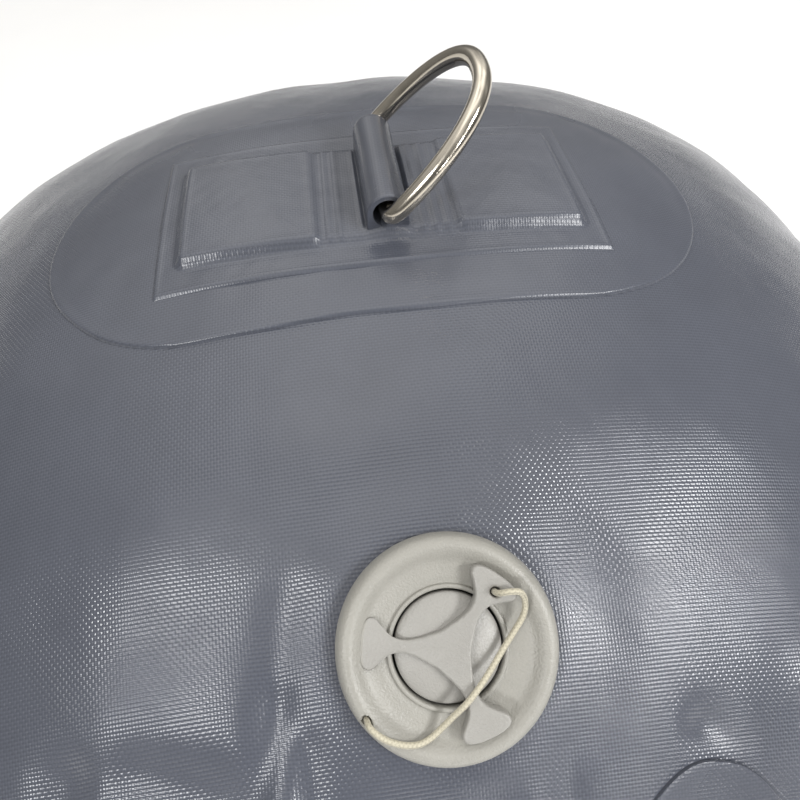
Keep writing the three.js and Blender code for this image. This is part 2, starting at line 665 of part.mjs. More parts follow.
// From the roll's end, round the male buckle's bar and back.
function rollStrap() {
  const tab = COLLAR_HALF + ROLL_TAB.gap + STRAP.thick / 2;
  const inner = buckleX - STRAP_FOLD;
  const outer = buckleX + STRAP_FOLD;
  const bar = BUCKLE.mouthY + MALE.slotY - TAPE_GAP;
  return ribbon([
    [tab, -ROLL_CENTRE - ROLL_TAB.past], [tab, -ROLL_CENTRE + ROLL_TAB.near], [inner, ROLL_TAB.leave],
    [inner, bar], [outer, bar], [outer, ROLL_TAB.foldEnd],
  ], STRAP.thick, STRAP.wide);
}

// A box in the buckle, its y measured from the mouth and its z from the seam.
function inBuckle([sizeX, sizeY, sizeZ], y, x = 0, z = 0) {
  return box(sizeX, sizeY, sizeZ, buckleX + x, BUCKLE.mouthY + y, SEAM_Z + z);
}

// A plate with rounded corners, from low to high along y.
function buckleBlank(thick, low, high, halfWidth) {
  const r = BUCKLE.corner;
  const side = halfWidth - r;
  const corners = [[high - r, side], [low + r, side], [low + r, -side], [high - r, -side]];
  const outline = corners.flatMap(([y, z], quarter) => spread(quarter, quarter + 1, 4).map((q) => (
    [y + r * Math.cos((q * Math.PI) / 2), z + r * Math.sin((q * Math.PI) / 2)]
  )));
  return acrossX(extrude(shapeOf(outline), thick)).translate(buckleX, BUCKLE.mouthY, SEAM_Z);
}

// The slot for the strap, and the relief on both faces of the bar beside it.
function slotCuts(y, towards) {
  const across = STRAP.wide + SLOT.clearance;
  const reliefs = [1, -1].map((face) => (
    inBuckle([RELIEF.deep, RELIEF.length, across], y + towards * RELIEF.beyond, face * RELIEF.out)
  ));
  return [inBuckle([SLOT.through, SLOT.wide, across], y), ...reliefs];
}

function femaleBuckle() {
  const body = buckleBlank(BUCKLE.thick, 0, FEMALE.length, BUCKLE.halfWidth);
  const cavity = inBuckle(FEMALE.cavity, FEMALE.cavityY);
  return cut(body, cavity, inBuckle(FEMALE.window, FEMALE.windowY), ...slotCuts(FEMALE.slotY, 1));
}

function maleBuckle() {
  const shoulder = buckleBlank(MALE.thick, MALE.low, MALE.high, MALE.halfWidth);
  const prongs = [1, -1].flatMap((side) => [
    inBuckle(MALE.prong, MALE.prongY, 0, side * MALE.prongZ),
    inBuckle(MALE.barb, MALE.barbY, 0, side * MALE.barbZ),
  ]);
  return cut(join(shoulder, inBuckle(MALE.guide, MALE.guideY), ...prongs), ...slotCuts(MALE.slotY, -1));
}

// ---- assembly ----

place('top_panel', cutValveHole(topPanel()), fabric);
place('bottom_panel', bottomPanel(), fabric);
place('seam_tape', seamTape(), fabric);
place('mouth_collar', rolledCollar(), fabric);
place('stiffener_upper', stiffener(1), dark);
place('stiffener_lower', stiffener(-1), dark);

place('base_patch', ovalSheet(...PATCH.half, 0, PATCH.centreY, PATCH.low, PATCH.high), fabric);
place('cover_sheet', coverSheet(), fabric);
place('weld_patch', weldPatch(), fabric);
place('webbing_left', webbingTail(-1), webbing);
place('webbing_right', webbingTail(1), webbing);
place('ring_sleeve', ringSleeve(), fabric);
const ring = place('d_ring', dRing(), steel);
ring.position.set(RING.x, RING.y, ringZ);
ring.rotation.y = THREE.MathUtils.degToRad(RING.lean);

bag.add(valveFrame);
place('valve_body', valveBody(), plastic, valveFrame);
place('valve_gasket', ringOf(GASKET_PROFILE), rubber, valveFrame);
place('valve_nut', valveNut(), plastic, valveFrame);
place('valve_seat', valveSeat(), plastic, valveFrame);
place('plunger', plunger(), plastic, valveFrame);
place('plunger_seal', ringOf(PLUNGER_SEAL_PROFILE), rubber, valveFrame);
place('cap', cap(), plastic, valveFrame);
place('cap_seal', ringOf(CAP_SEAL_PROFILE), rubber, valveFrame);
place('lanyard', lanyard(), cord, valveFrame);

[['left', -1], ['right', 1]].forEach(([name, side]) => {
  place(`strap_patch_${name}`, mirrored(strapPatch(), side), fabric);
  place(`side_strap_${name}`, mirrored(sideStrap(), side), webbing);
  place(`roll_strap_${name}`, mirrored(rollStrap(), side), webbing);
  place(`buckle_female_${name}`, mirrored(femaleBuckle(), side), dark);
  place(`buckle_male_${name}`, mirrored(maleBuckle(), side), dark);
});

function cutValveHole(geometry) {
  const hole = rod(VALVE_HOLE, -30, 30, 0, 0, SIDES).applyMatrix4(valveFrame.matrix);
  return cut(geometry, hole);
}

// The middle of the footprint becomes the origin.
bag.updateMatrixWorld(true);
const footprint = new THREE.Box3().setFromObject(bag, true);
bag.position.set(
  -(footprint.min.x + footprint.max.x) / 2,
  -(footprint.min.y + footprint.max.y) / 2,
  0,
);

export default bag;
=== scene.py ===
"""The looks of an inflated roll-top dry bag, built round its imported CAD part.

Shapes are worked out in the bag's own millimetres (the pillow's crest over x = y = 0, the floor at
z = 0) and moved into the frame, in metres, as each mesh is made.
"""

import math

import bpy
import numpy as np
from mathutils import Matrix, Vector


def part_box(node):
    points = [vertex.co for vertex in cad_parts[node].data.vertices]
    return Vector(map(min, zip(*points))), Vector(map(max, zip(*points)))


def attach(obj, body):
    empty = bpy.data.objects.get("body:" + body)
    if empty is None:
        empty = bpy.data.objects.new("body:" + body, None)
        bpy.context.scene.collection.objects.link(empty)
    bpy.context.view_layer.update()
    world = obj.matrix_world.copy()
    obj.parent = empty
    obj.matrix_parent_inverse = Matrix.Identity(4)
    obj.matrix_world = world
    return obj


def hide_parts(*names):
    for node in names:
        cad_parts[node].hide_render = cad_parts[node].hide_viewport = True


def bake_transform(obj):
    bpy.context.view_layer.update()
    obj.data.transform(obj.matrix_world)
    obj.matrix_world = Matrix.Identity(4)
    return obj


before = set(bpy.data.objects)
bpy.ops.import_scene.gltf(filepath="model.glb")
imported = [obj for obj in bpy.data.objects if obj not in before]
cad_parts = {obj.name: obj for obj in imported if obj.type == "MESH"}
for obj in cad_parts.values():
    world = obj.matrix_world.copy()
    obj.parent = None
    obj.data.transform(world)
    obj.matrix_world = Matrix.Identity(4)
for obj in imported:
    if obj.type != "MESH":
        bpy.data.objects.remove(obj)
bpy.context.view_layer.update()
MM = 0.001

# ---- the bag's measures, in millimetres, as in the CAD source ----
HALF_WIDTH, HALF_LENGTH = 263.8, 246.4
SEAM_Z, RISE, DROP = 118.0, 170.0, 150.0
EDGE_POWER, OUTLINE_POWER, PINCUSHION = 1 / 1.879, 6, 0.06
PATCH_FLAT, PATCH_FLAT_X, PATCH_FLAT_Y, PATCH_CENTRE_Y = 6.15, 62.0, 55.0, 2.0
SKIN, SEAM_GAP, FIN = 1.2, 0.4, 12.0
TAPE_GAP, TAPE_SKIN, TAPE_COVER = 0.4, 1.0, 9.0
COLLAR_HALF, COLLAR_SKIN, COLLAR_START = 262.0, 1.3, 255.5
ROLL_CENTRE, ROLL_TURNS, ROLL_WIDE, ROLL_HIGH, ROLL_PITCH = 289.0, 3, 20.0, 12.5, 2.3
PATCH_HALF = (120.5, 60.0)
COVER_HALF = (77.0, 38.5)
RING_X, RING_Y, RING_HEIGHT, RING_WIRE = 2.0, 0.0, 10.4, 3.0
RING_LEAN, RING_WIDTH, RING_REACH, RING_SHAPE = 45.5, 56.5, 46.0, 2.34
SLEEVE_LENGTH, SLEEVE_INNER, SLEEVE_OUTER = 50.0, 4.8, 6.9
VALVE_Y = -149.2
VALVE_TURN = math.radians(-10)
WELD_PATCH = (66.0, -206.0, 24.0)  # centre and radius of the small round patch near the mouth
CORD_R = 0.8
STRAP_WIDE, STRAP_THICK = 25.0, 1.6
LANYARD_ROUTE = [
    (10.8, 14.9, 4.2), (10.8, 14.9, 7.8), (11.6, 15.2, 10.0), (13.8, 15.8, 11.0), (16.5, 15.5, 9.9),
    (18.2, 13.1, 7.6), (18.4, 9.6, 5.8), (16.7, 5.8, 4.9), (13.8, 1.2, 4.9), (10.6, -3.4, 6.2),
    (7.2, -7.6, 8.0), (4.2, -11.4, 8.0), (1.4, -15.0, 6.2), (-1.4, -18.6, 4.6), (-3.8, -20.9, 4.4),
    (-6.6, -22.1, 5.2), (-9.5, -22.2, 5.9), (-12.3, -21.7, 6.4), (-14.9, -20.7, 7.1),
    (-17.4, -19.2, 7.5), (-19.2, -18.0, 6.6), (-19.9, -17.4, 4.0), (-19.92, -17.32, 0.9),
]

patch_low, patch_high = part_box("base_patch")
SHIFT_Y = (patch_low.y + patch_high.y) / 2 / MM - PATCH_CENTRE_Y  # the bag's place along Y in the frame


def framed(points):
    """Points in the bag's millimetres, as frame metres."""
    return (np.asarray(points, float) + (0.0, SHIFT_Y, 0.0)) * MM


# ---- camera ----
CAMERA_AT = (-13.74, -187.69, 414.26)
CAMERA_YAW, CAMERA_DOWN, CAMERA_ROLL, CAMERA_LENS = 6.019, 53.957, -2.321, 27.0


def make_camera():
    yaw, down, roll = (math.radians(a) for a in (CAMERA_YAW, CAMERA_DOWN, CAMERA_ROLL))
    ahead = Vector((math.sin(yaw) * math.cos(down), math.cos(yaw) * math.cos(down), -math.sin(down)))
    level = Vector((math.cos(yaw), -math.sin(yaw), 0))
    over = level.cross(ahead)
    right = level * math.cos(roll) + over * math.sin(roll)
    up = over * math.cos(roll) - level * math.sin(roll)
    camera = bpy.data.objects.new("camera", bpy.data.cameras.new("camera"))
    camera.data.lens = CAMERA_LENS
    camera.data.sensor_width = 36
    camera.data.clip_start = 0.01
    turn = Matrix((right, up, -ahead)).transposed().to_4x4()
    camera.matrix_world = Matrix.Translation(framed(CAMERA_AT).tolist()) @ turn
    bpy.context.scene.collection.objects.link(camera)
    bpy.context.scene.camera = camera


# ---- the pillow's surface ----
def fullness(u, v):
    """1 at the pillow's crest, 0 at its seam."""
    around = u * u + v * v
    level = (np.abs(u) ** OUTLINE_POWER + np.abs(v) ** OUTLINE_POWER) ** (1 / OUTLINE_POWER)
    return np.maximum(0, 1 - around + level ** 3 * (around - level * level)) ** EDGE_POWER


def crest_dip(x, y):
    """How far the welded patch holds the crest down."""
    return PATCH_FLAT * np.exp(-((x / PATCH_FLAT_X) ** 2) - ((y - PATCH_CENTRE_Y) / PATCH_FLAT_Y) ** 2)


def plan_point(level, turn, grow=0.0):
    """A point seen from above: level is 0 at the crest and 1 at the seam. grow moves it outwards."""
    c, s = np.cos(turn), np.sin(turn)
    radius = level / (np.abs(c) ** OUTLINE_POWER + np.abs(s) ** OUTLINE_POWER) ** (1 / OUTLINE_POWER)
    u, v = c * radius, s * radius
    x = (HALF_WIDTH + grow) * u * (1 + PINCUSHION * v * v)
    y = (HALF_LENGTH + grow) * v * (1 + PINCUSHION * u * u)
    return u, v, x, y


def top_z(x, y):
    x, y = np.asarray(x, float), np.asarray(y, float)
    u, v = x / HALF_WIDTH, y / HALF_LENGTH
    for _ in range(6):
        u = x / HALF_WIDTH / (1 + PINCUSHION * v * v)
        v = y / HALF_LENGTH / (1 + PINCUSHION * u * u)
    return SEAM_Z + RISE * fullness(u, v) - crest_dip(x, y)


def smooth(t):
    t = np.clip(t, 0, 1)
    return t * t * (3 - 2 * t)


def bump_at(d, width):
    return np.exp(-((d / width) ** 2))


# ---- the valve's own frame: z along the panel's normal ----
slope_y = float(top_z(0, VALVE_Y + 0.5) - top_z(0, VALVE_Y - 0.5))
valve_up = np.array((0.0, -slope_y, 1.0)) / math.hypot(slope_y, 1)
level = np.array((1.0, 0.0, 0.0))
valve_across = math.cos(VALVE_TURN) * level + math.sin(VALVE_TURN) * np.cross(valve_up, level)
valve_along = np.cross(valve_up, valve_across)
valve_at = np.array((0.0, VALVE_Y, float(top_z(0, VALVE_Y))))


def on_valve(points):
    """Points in the valve's frame, in the bag's frame."""
    p = np.asarray(points, float)
    return valve_at + p[:, :1] * valve_across + p[:, 1:2] * valve_along + p[:, 2:3] * valve_up


# ---- meshes ----
def make_mesh(name, points, faces, uv=None, sharp=None, flip=False):
    """A smooth-shaded piece from points and uv in the bag's millimetres, or from lists of rows of them.

    Edges sharper than sharp degrees stay sharp, and flip turns the faces over.
    """
    if isinstance(points, list):
        points, uv = np.vstack(points), np.vstack(uv)
    mesh = bpy.data.meshes.new(name)
    step = -1 if flip else 1
    mesh.from_pydata(framed(points).tolist(), [], [tuple(int(i) for i in f[::step]) for f in faces])
    mesh.validate()
    if uv is not None:
        corners = np.zeros(len(mesh.loops), np.int64)
        mesh.loops.foreach_get("vertex_index", corners)
        layer = mesh.uv_layers.new(name="weave")
        layer.data.foreach_set("uv", (np.asarray(uv, float)[corners] * MM).astype(np.float32).ravel())
    mesh.shade_smooth()
    if sharp:
        mesh.set_sharp_from_angle(angle=math.radians(sharp))
    piece = bpy.data.objects.new(name, mesh)
    bpy.context.scene.collection.objects.link(piece)
    return piece


def grid_faces(rows, columns, close_rows=False, close_columns=False):
    """Quads of a grid of points stored row by row."""
    faces = []
    for i in range(rows if close_rows else rows - 1):
        j = (i + 1) % rows
        for k in range(columns if close_columns else columns - 1):
            n = (k + 1) % columns
            faces.append((i * columns + k, j * columns + k, j * columns + n, i * columns + n))
    return faces


def settle(piece, body, material, slot, *nodes):
    """Gives a piece its material and its body, and hides the CAD nodes it stands for. slot is not used."""
    piece.data.materials.clear()
    piece.data.materials.append(material)
    if body:
        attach(piece, body)
    if nodes:
        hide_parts(*nodes)


def catmull(points, steps):
    """A smooth curve through points, with steps samples in each span."""
    p = np.asarray(points, float)
    p = np.vstack((2 * p[0] - p[1], p, 2 * p[-1] - p[-2]))
    out = []
    for i in range(1, len(p) - 2):
        a, b, c, d = p[i - 1:i + 3]
        for t in np.arange(steps) / steps:
            out.append(0.5 * (2 * b + (c - a) * t + (2 * a - 5 * b + 4 * c - d) * t ** 2
                              + (3 * b - a - 3 * c + d) * t ** 3))
    out.append(p[-2])
    return np.array(out)


def closed_catmull(points, steps):
    p = [tuple(q) for q in points]
    looped = catmull([p[-1], *p, p[0], p[1]], steps)
    return looped[steps:-steps - 1]


def lengths(line):
    return np.concatenate(([0.0], np.cumsum(np.linalg.norm(np.diff(line, axis=0), axis=1))))


def resample(line, s, at):
    """Points of a line at the lengths at, where s is the length at each of its own points."""
    return np.stack([np.interp(at, s, line[:, i]) for i in range(line.shape[1])], -1)


def even_steps(line, count):
    """count + 1 points at equal steps along a line."""
    s = lengths(line)
    return resample(line, s, np.linspace(0, s[-1], count + 1))


def relax(line, rounds):
    """Rounds a line's corners, with its two ends held."""
    for _ in range(rounds):
        line[1:-1] = (line[:-2] + 2 * line[1:-1] + line[2:]) / 4
    return line


def end_caps(rows, columns):
    """The two end faces of a grid that is closed across its columns."""
    return [tuple(range(columns)), tuple(reversed(range((rows - 1) * columns, rows * columns)))]


def sheet_ends(rows, columns, flip):
    """End faces of a grid whose section runs out along a sheet's one side and back along the other."""
    faces = []
    for base, turned in ((0, flip), ((rows - 1) * columns, not flip)):
        for i in range(columns // 2 - 1):
            quad = (base + i, base + i + 1, base + columns - 2 - i, base + columns - 1 - i)
            faces.append(quad[::-1] if turned else quad)
    return faces


def tube(line, radius, sides, closed=False, squeeze=None):
    """Points, faces and uv of a tube along a line, where squeeze scales its radius at each point."""
    line = np.asarray(line, float)
    count = len(line)
    if closed:
        along = np.roll(line, -1, 0) - np.roll(line, 1, 0)
    else:
        along = np.gradient(line, axis=0)
    along /= np.linalg.norm(along, axis=1)[:, None]
    side = np.cross(along[0], (0.13, 0.21, 0.97))
    frames = []
    for i in range(count):
        side = side - (side @ along[i]) * along[i]
        side /= np.linalg.norm(side)
        frames.append((side.copy(), np.cross(along[i], side)))
    turns = np.arange(sides) / sides * 2 * math.pi
    rows, uv, s = [], [], lengths(line)
    for i, (a, b) in enumerate(frames):
        r = radius if squeeze is None else radius * squeeze[i]
        rows.append(line[i] + r * (np.cos(turns)[:, None] * a + np.sin(turns)[:, None] * b))
        uv.append(np.stack((turns * radius, np.full(sides, s[i])), 1))
    faces = grid_faces(count, sides, close_rows=closed, close_columns=True)
    if not closed:
        faces += end_caps(count, sides)
    return np.vstack(rows), faces, np.vstack(uv)


def slab(name, outlines, low, high, bevel, resolution=3):
    """A flat plate from closed outlines (holes among them) with rounded edges, from z low to high."""
    curve = bpy.data.curves.new(name, "CURVE")
    curve.dimensions = "2D"
    curve.fill_mode = "BOTH"
    curve.extrude = max(1e-4, (high - low) / 2 - bevel)
    curve.bevel_depth = bevel
    curve.offset = -bevel
    curve.bevel_resolution = resolution
    for outline in outlines:
        spline = curve.splines.new("POLY")
        spline.points.add(len(outline) - 1)
        for point, (x, y) in zip(spline.points, outline):
            point.co = (x, y, 0, 1)
        spline.use_cyclic_u = True
    holder = bpy.data.objects.new(name, curve)
    bpy.context.scene.collection.objects.link(holder)
    mesh = bpy.data.meshes.new_from_object(holder.evaluated_get(bpy.context.evaluated_depsgraph_get()))
    bpy.data.objects.remove(holder)
    points = np.array([v.co for v in mesh.vertices], float) + (0, 0, (low + high) / 2)
    faces = [tuple(f.vertices) for f in mesh.polygons]
    bpy.data.meshes.remove(mesh)
    keys = {}
    remap = [keys.setdefault(tuple(np.round(p, 4)), len(keys)) for p in points]
    merged = np.array(list(keys))
    clean = []
    for face in faces:
        loop = [remap[i] for i in face]
        loop = [v for i, v in enumerate(loop) if v != loop[i - 1]]
        if len(set(loop)) > 2:
            clean.append(tuple(loop))
    return merged, clean


def rounded_rect(x0, x1, y0, y1, r, steps=6):
    out = []
    centres = ((x1 - r, y1 - r, 0), (x0 + r, y1 - r, 90), (x0 + r, y0 + r, 180), (x1 - r, y0 + r, 270))
    for cx, cy, start in centres:
        for i in range(steps + 1):
            a = math.radians(start + 90 * i / steps)
            out.append((cx + r * math.cos(a), cy + r * math.sin(a)))
    return out


# ---- noise in code: sums of waves in seeded directions ----
def wave_noise(x, y, size, seed, octaves=4):
    """Smooth noise of about -1 to 1, whose largest lumps are size across."""
    rng = np.random.default_rng(seed)
    total = np.zeros_like(np.asarray(x, float))
    weight = 0.0
    for octave in range(octaves):
        share = 0.55 ** octave
        for _ in range(5):
            turn, phase = rng.uniform(0, 2 * math.pi, 2)
            stretch = rng.uniform(0.75, 1.3) * 2 ** octave * 2 * math.pi / size
            total = total + share * np.sin((x * math.cos(turn) + y * math.sin(turn)) * stretch + phase)
        weight += share * 2.2
    return total / weight


# ---- materials ----
class Nodes:
    """Short ways to build the node tree of a material, or of the world."""

    def __init__(self, name, world=False):
        self.owner = (bpy.data.worlds if world else bpy.data.materials).new(name)
        self.owner.use_nodes = True
        self.tree = self.owner.node_tree
        self.shader = self.tree.nodes["Background" if world else "Principled BSDF"]

    def feed(self, socket, value):
        """Sets a socket to a number or a colour, or links it to another node's output."""
        if isinstance(value, bpy.types.NodeSocket):
            self.tree.links.new(value, socket)
        else:
            socket.default_value = value

    def add(self, kind, **values):
        """A node with its options and its sockets, where _ stands for a space in a socket's name."""
        node = self.tree.nodes.new(kind)
        for key, value in values.items():
            if hasattr(node, key):
                setattr(node, key, value)
            else:
                self.feed(node.inputs[key.replace("_", " ")], value)
        return node

    def finish(self, **values):
        """Fills the shader's own sockets and returns the material or the world."""
        for key, value in values.items():
            self.feed(self.shader.inputs[key.replace("_", " ")], value)
        return self.owner

    def math(self, operation, a, b=0.0):
        node = self.add("ShaderNodeMath", operation=operation)
        self.feed(node.inputs[0], a)
        self.feed(node.inputs[1], b)
        return node.outputs[0]

    def plus(self, a, b):
        return self.math("ADD", a, b)

    def times(self, a, b):
        return self.math("MULTIPLY", a, b)

    def wave(self, value, length, kind="SINE"):
        return self.math(kind, self.times(value, 2 * math.pi / length))

    def split(self, vector):
        node = self.add("ShaderNodeSeparateXYZ", Vector=vector)
        return node.outputs[0], node.outputs[1]

    def noise(self, vector, scale, detail=3.0, roughness=0.55):
        node = self.add("ShaderNodeTexNoise", Vector=vector, Scale=scale, Detail=detail, Roughness=roughness)
        return node.outputs["Fac"]

    def ramp(self, value, *stops):
        """A colour ramp: stops are (position, colour)."""
        node = self.add("ShaderNodeValToRGB", Fac=value)
        elements = node.color_ramp.elements
        while len(elements) < len(stops):
            elements.new(0.5)
        for element, (position, colour) in zip(elements, stops):
            element.position = position
            element.color = (*colour, 1)
        return node.outputs["Color"]

    def span(self, value, low, high, to_low=0, to_high=1):
        node = self.add("ShaderNodeMapRange", Value=value, From_Min=low, From_Max=high, To_Min=to_low,
                        To_Max=to_high)
        return node.outputs["Result"]

    def mix(self, factor, one, other, blend="MIX"):
        node = self.add("ShaderNodeMix", data_type="RGBA", blend_type=blend, Factor=factor)
        self.feed(node.inputs[6], one)
        self.feed(node.inputs[7], other)
        return node.outputs[2]

    def bump(self, height, distance):
        return self.add("ShaderNodeBump", Height=height, Distance=distance).outputs["Normal"]

    def place(self, kind="Object"):
        return self.add("ShaderNodeTexCoord").outputs[kind]

    def weave_uv(self):
        return self.add("ShaderNodeUVMap", uv_map="weave").outputs["UV"]


def srgb(*values):
    """A colour from 0-255 screen values, as linear numbers."""
    return tuple(((v / 255 + 0.055) / 1.055) ** 2.4 if v > 10 else v / 255 / 12.92 for v in values)


def shade(colour, factor):
    return tuple(min(1, c * factor) for c in colour)


THREAD_X, THREAD_Y, WEAVE_TURN = 0.907, 1.048, 1.2  # thread pitches in mm, and the cut's turn in degrees
WEAVE_RELIEF, MOULD_RELIEF = 0.000048, 0.00018  # heights of the surfaces' grain, in metres
HERRINGBONE, STRAP_RIB, STRAP_END = 0.0062, 0.0016, 0.00078  # the strap's weave, in metres
BRAID_STRANDS, BRAID_PITCH = 4, 0.0011


def threads(n):
    """Waves for the threads across, for those along, and for where one lies over the other."""
    turn = (0, 0, math.radians(WEAVE_TURN))
    x, y = n.split(n.add("ShaderNodeMapping", Vector=n.weave_uv(), Rotation=turn).outputs[0])
    pitch_x, pitch_y = THREAD_X * MM, THREAD_Y * MM
    crossings = n.times(n.wave(x, 2 * pitch_x, "COSINE"), n.wave(y, 2 * pitch_y, "COSINE"))
    return n.wave(x, pitch_x), n.wave(y, pitch_y), crossings


def coated_fabric(name, colour, weave=1.0, roughness=0.20):
    """Glossy plastic-coated cloth: its threads show through the coating as a fine lattice, in the bump and in
    painted shade on the base colour.
    """
    n = Nodes(name)
    columns, rows, crossings = threads(n)
    place = n.place()
    cloud = n.noise(place, 9.0, 4.0)
    lattice = n.plus(n.times(rows, 0.62), n.times(columns, 0.32))
    height = n.plus(lattice, n.times(crossings, 0.42))
    uneven = n.times(height, n.span(n.noise(place, 35.0), 0.3, 0.7, 0.75, 1.15))
    grain = n.plus(uneven, n.times(n.noise(place, 900.0, 2.0), 0.35))
    blotch = n.plus(n.times(cloud, 0.7), n.times(n.noise(place, 60.0, 6.0, 0.7), 0.3))
    tone = n.ramp(blotch, (0.36, shade(colour, 0.90)), (0.64, shade(colour, 1.10)))
    # painted shade: the base colour is darkened to 0.80 where the weave lies low and lifted to 1.06 on the
    # thread crests, a painted highlight
    sunk = n.ramp(n.span(height, -1.1, 1.1), (0.0, (0.80, 0.80, 0.80)), (1.0, (1.06, 1.06, 1.06)))
    return n.finish(Base_Color=n.mix(1.0, tone, sunk, "MULTIPLY"),
                    Normal=n.bump(grain, WEAVE_RELIEF * weave),
                    Roughness=n.span(cloud, 0.3, 0.75, roughness - 0.02, roughness + 0.04),
                    Specular_IOR_Level=0.55)


def moulded(name, colour, roughness, grain=MOULD_RELIEF, speckle=0.06):
    """Moulded plastic: a very fine eroded grain, slightly uneven in tone and gloss."""
    n = Nodes(name)
    place = n.place()
    cloud = n.noise(place, 45.0, 4.0)
    fine = n.noise(place, 1700.0, 2.0)
    tone = n.ramp(n.plus(n.times(cloud, 0.7), n.times(fine, 0.3)),
                  (0.35, shade(colour, 1 - speckle)), (0.65, shade(colour, 1 + speckle)))
    return n.finish(Base_Color=tone, Normal=n.bump(n.plus(fine, n.times(cloud, 0.6)), grain),
                    Roughness=n.span(cloud, 0.3, 0.7, roughness - 0.05, roughness + 0.07),
                    Specular_IOR_Level=0.5)


def webbing_cloth(name, colour):
    """Flat woven strap: herringbone ribs along its length, from its own uv."""
    n = Nodes(name)
    across, along = n.split(n.weave_uv())
    zigzag = n.math("ABSOLUTE", n.math("SUBTRACT", n.math("FRACT", n.times(across, 1 / HERRINGBONE)), 0.5))
    rib = n.math("SINE", n.plus(n.times(along, 2 * math.pi / STRAP_RIB), n.times(zigzag, 22.0)))
    height = n.plus(n.times(rib, 0.6), n.times(n.wave(across, STRAP_END), 0.4))
    place = n.place()
    fuzz = n.noise(place, 1800.0)
    # this adds the rib height to random patches of wear: the tone below is painted shade in the valleys
    # between ribs and a painted highlight on the rib crests, mixed with wear
    wear_and_shade = n.plus(height, n.times(n.noise(place, 60.0), 0.8))
    tone = n.ramp(n.span(wear_and_shade, -1, 1.6), (0.0, shade(colour, 0.6)), (1.0, shade(colour, 1.25)))
    return n.finish(Base_Color=tone, Normal=n.bump(n.plus(height, fuzz), 0.00014),
                    Roughness=n.span(fuzz, 0.3, 0.7, 0.72, 0.86), Specular_IOR_Level=0.3,
                    Sheen_Weight=0.25, Sheen_Roughness=0.4)


def braided_cord(name, colour):
    """A braid: crossed strands wound both ways round the cord."""
    n = Nodes(name)
    u, v = n.split(n.weave_uv())
    around, along = n.times(u, BRAID_STRANDS / (CORD_R * MM)), n.times(v, 2 * math.pi / BRAID_PITCH)
    one, other = (n.math("SINE", n.math(way, along, around)) for way in ("ADD", "SUBTRACT"))
    height = n.math("MAXIMUM", one, other)
    wear_and_shade = n.noise(n.place(), 260.0, 4.0)
    # painted shade: the tone is darker in the grooves between strands and lighter on the strand crests, a
    # painted highlight, mixed with random wear
    tone = n.ramp(n.span(n.plus(height, n.times(wear_and_shade, 1.2)), -0.6, 1.7),
                  (0.0, shade(colour, 0.84)), (0.6, colour), (1.0, shade(colour, 1.08)))
    return n.finish(Base_Color=tone, Normal=n.bump(height, 0.00004),
                    Roughness=n.span(wear_and_shade, 0.3, 0.7, 0.5, 0.68), Sheen_Weight=0.2)


def polished_steel(name, colour):
    """Polished wire: faint drawing marks and dull spots."""
    n = Nodes(name)
    place = n.place()
    cloud = n.noise(place, 55.0, 5.0, 0.6)
    return n.finish(Base_Color=n.ramp(cloud, (0.35, shade(colour, 0.82)), (0.65, colour)),
                    Roughness=n.span(cloud, 0.35, 0.7, 0.10, 0.24),
                    Normal=n.bump(n.noise(place, 700.0), 0.00001), Metallic=1.0)


FABRIC = srgb(78, 81, 90)
fabric = coated_fabric("coated_fabric", FABRIC)
patch_fabric = coated_fabric("patch_fabric", FABRIC, 0.6, 0.27)
tape_fabric = coated_fabric("tape_fabric", srgb(74, 77, 84), 0.5, 0.30)
strap_cloth = webbing_cloth("strap_webbing", srgb(70, 73, 80))
stitch_thread = moulded("stitch_thread", srgb(96, 99, 106), 0.7, 0.0001, 0.15)
valve_plastic = moulded("valve_plastic", srgb(148, 146, 139), 0.36)
lobe_plastic = moulded("cap_plastic", srgb(150, 148, 143), 0.34)
buckle_plastic = moulded("buckle_plastic", srgb(34, 35, 38), 0.45, 0.00004, 0.15)
seal_rubber = moulded("seal_rubber", srgb(38, 38, 40), 0.66, 0.00005, 0.12)
ring_steel = polished_steel("ring_steel", srgb(206, 198, 184))
lanyard_cord = braided_cord("lanyard_cord", srgb(178, 172, 152))


# ---- camera and cord first ----
make_camera()


def make_lanyard():
    line = on_valve(catmull(LANYARD_ROUTE[::-1], 8))
    points, faces, uv = tube(line, CORD_R, 14)
    cord = make_mesh("lanyard_cord", points, faces, uv)
    settle(cord, None, lanyard_cord, "cord", "lanyard")
    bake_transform(cord)


make_lanyard()

# ---- the panels ----
AROUND, RINGS, INNER_RINGS = 440, 150, 24
TURNS = (np.arange(AROUND) + 0.5) / AROUND * 2 * math.pi
outline = np.stack(plan_point(1.0, TURNS)[2:], 1)
OUTLINE_S = lengths(np.vstack((outline, outline[:1])))[:-1]
OUTLINE_LENGTH = lengths(np.vstack((outline, outline[:1])))[-1]

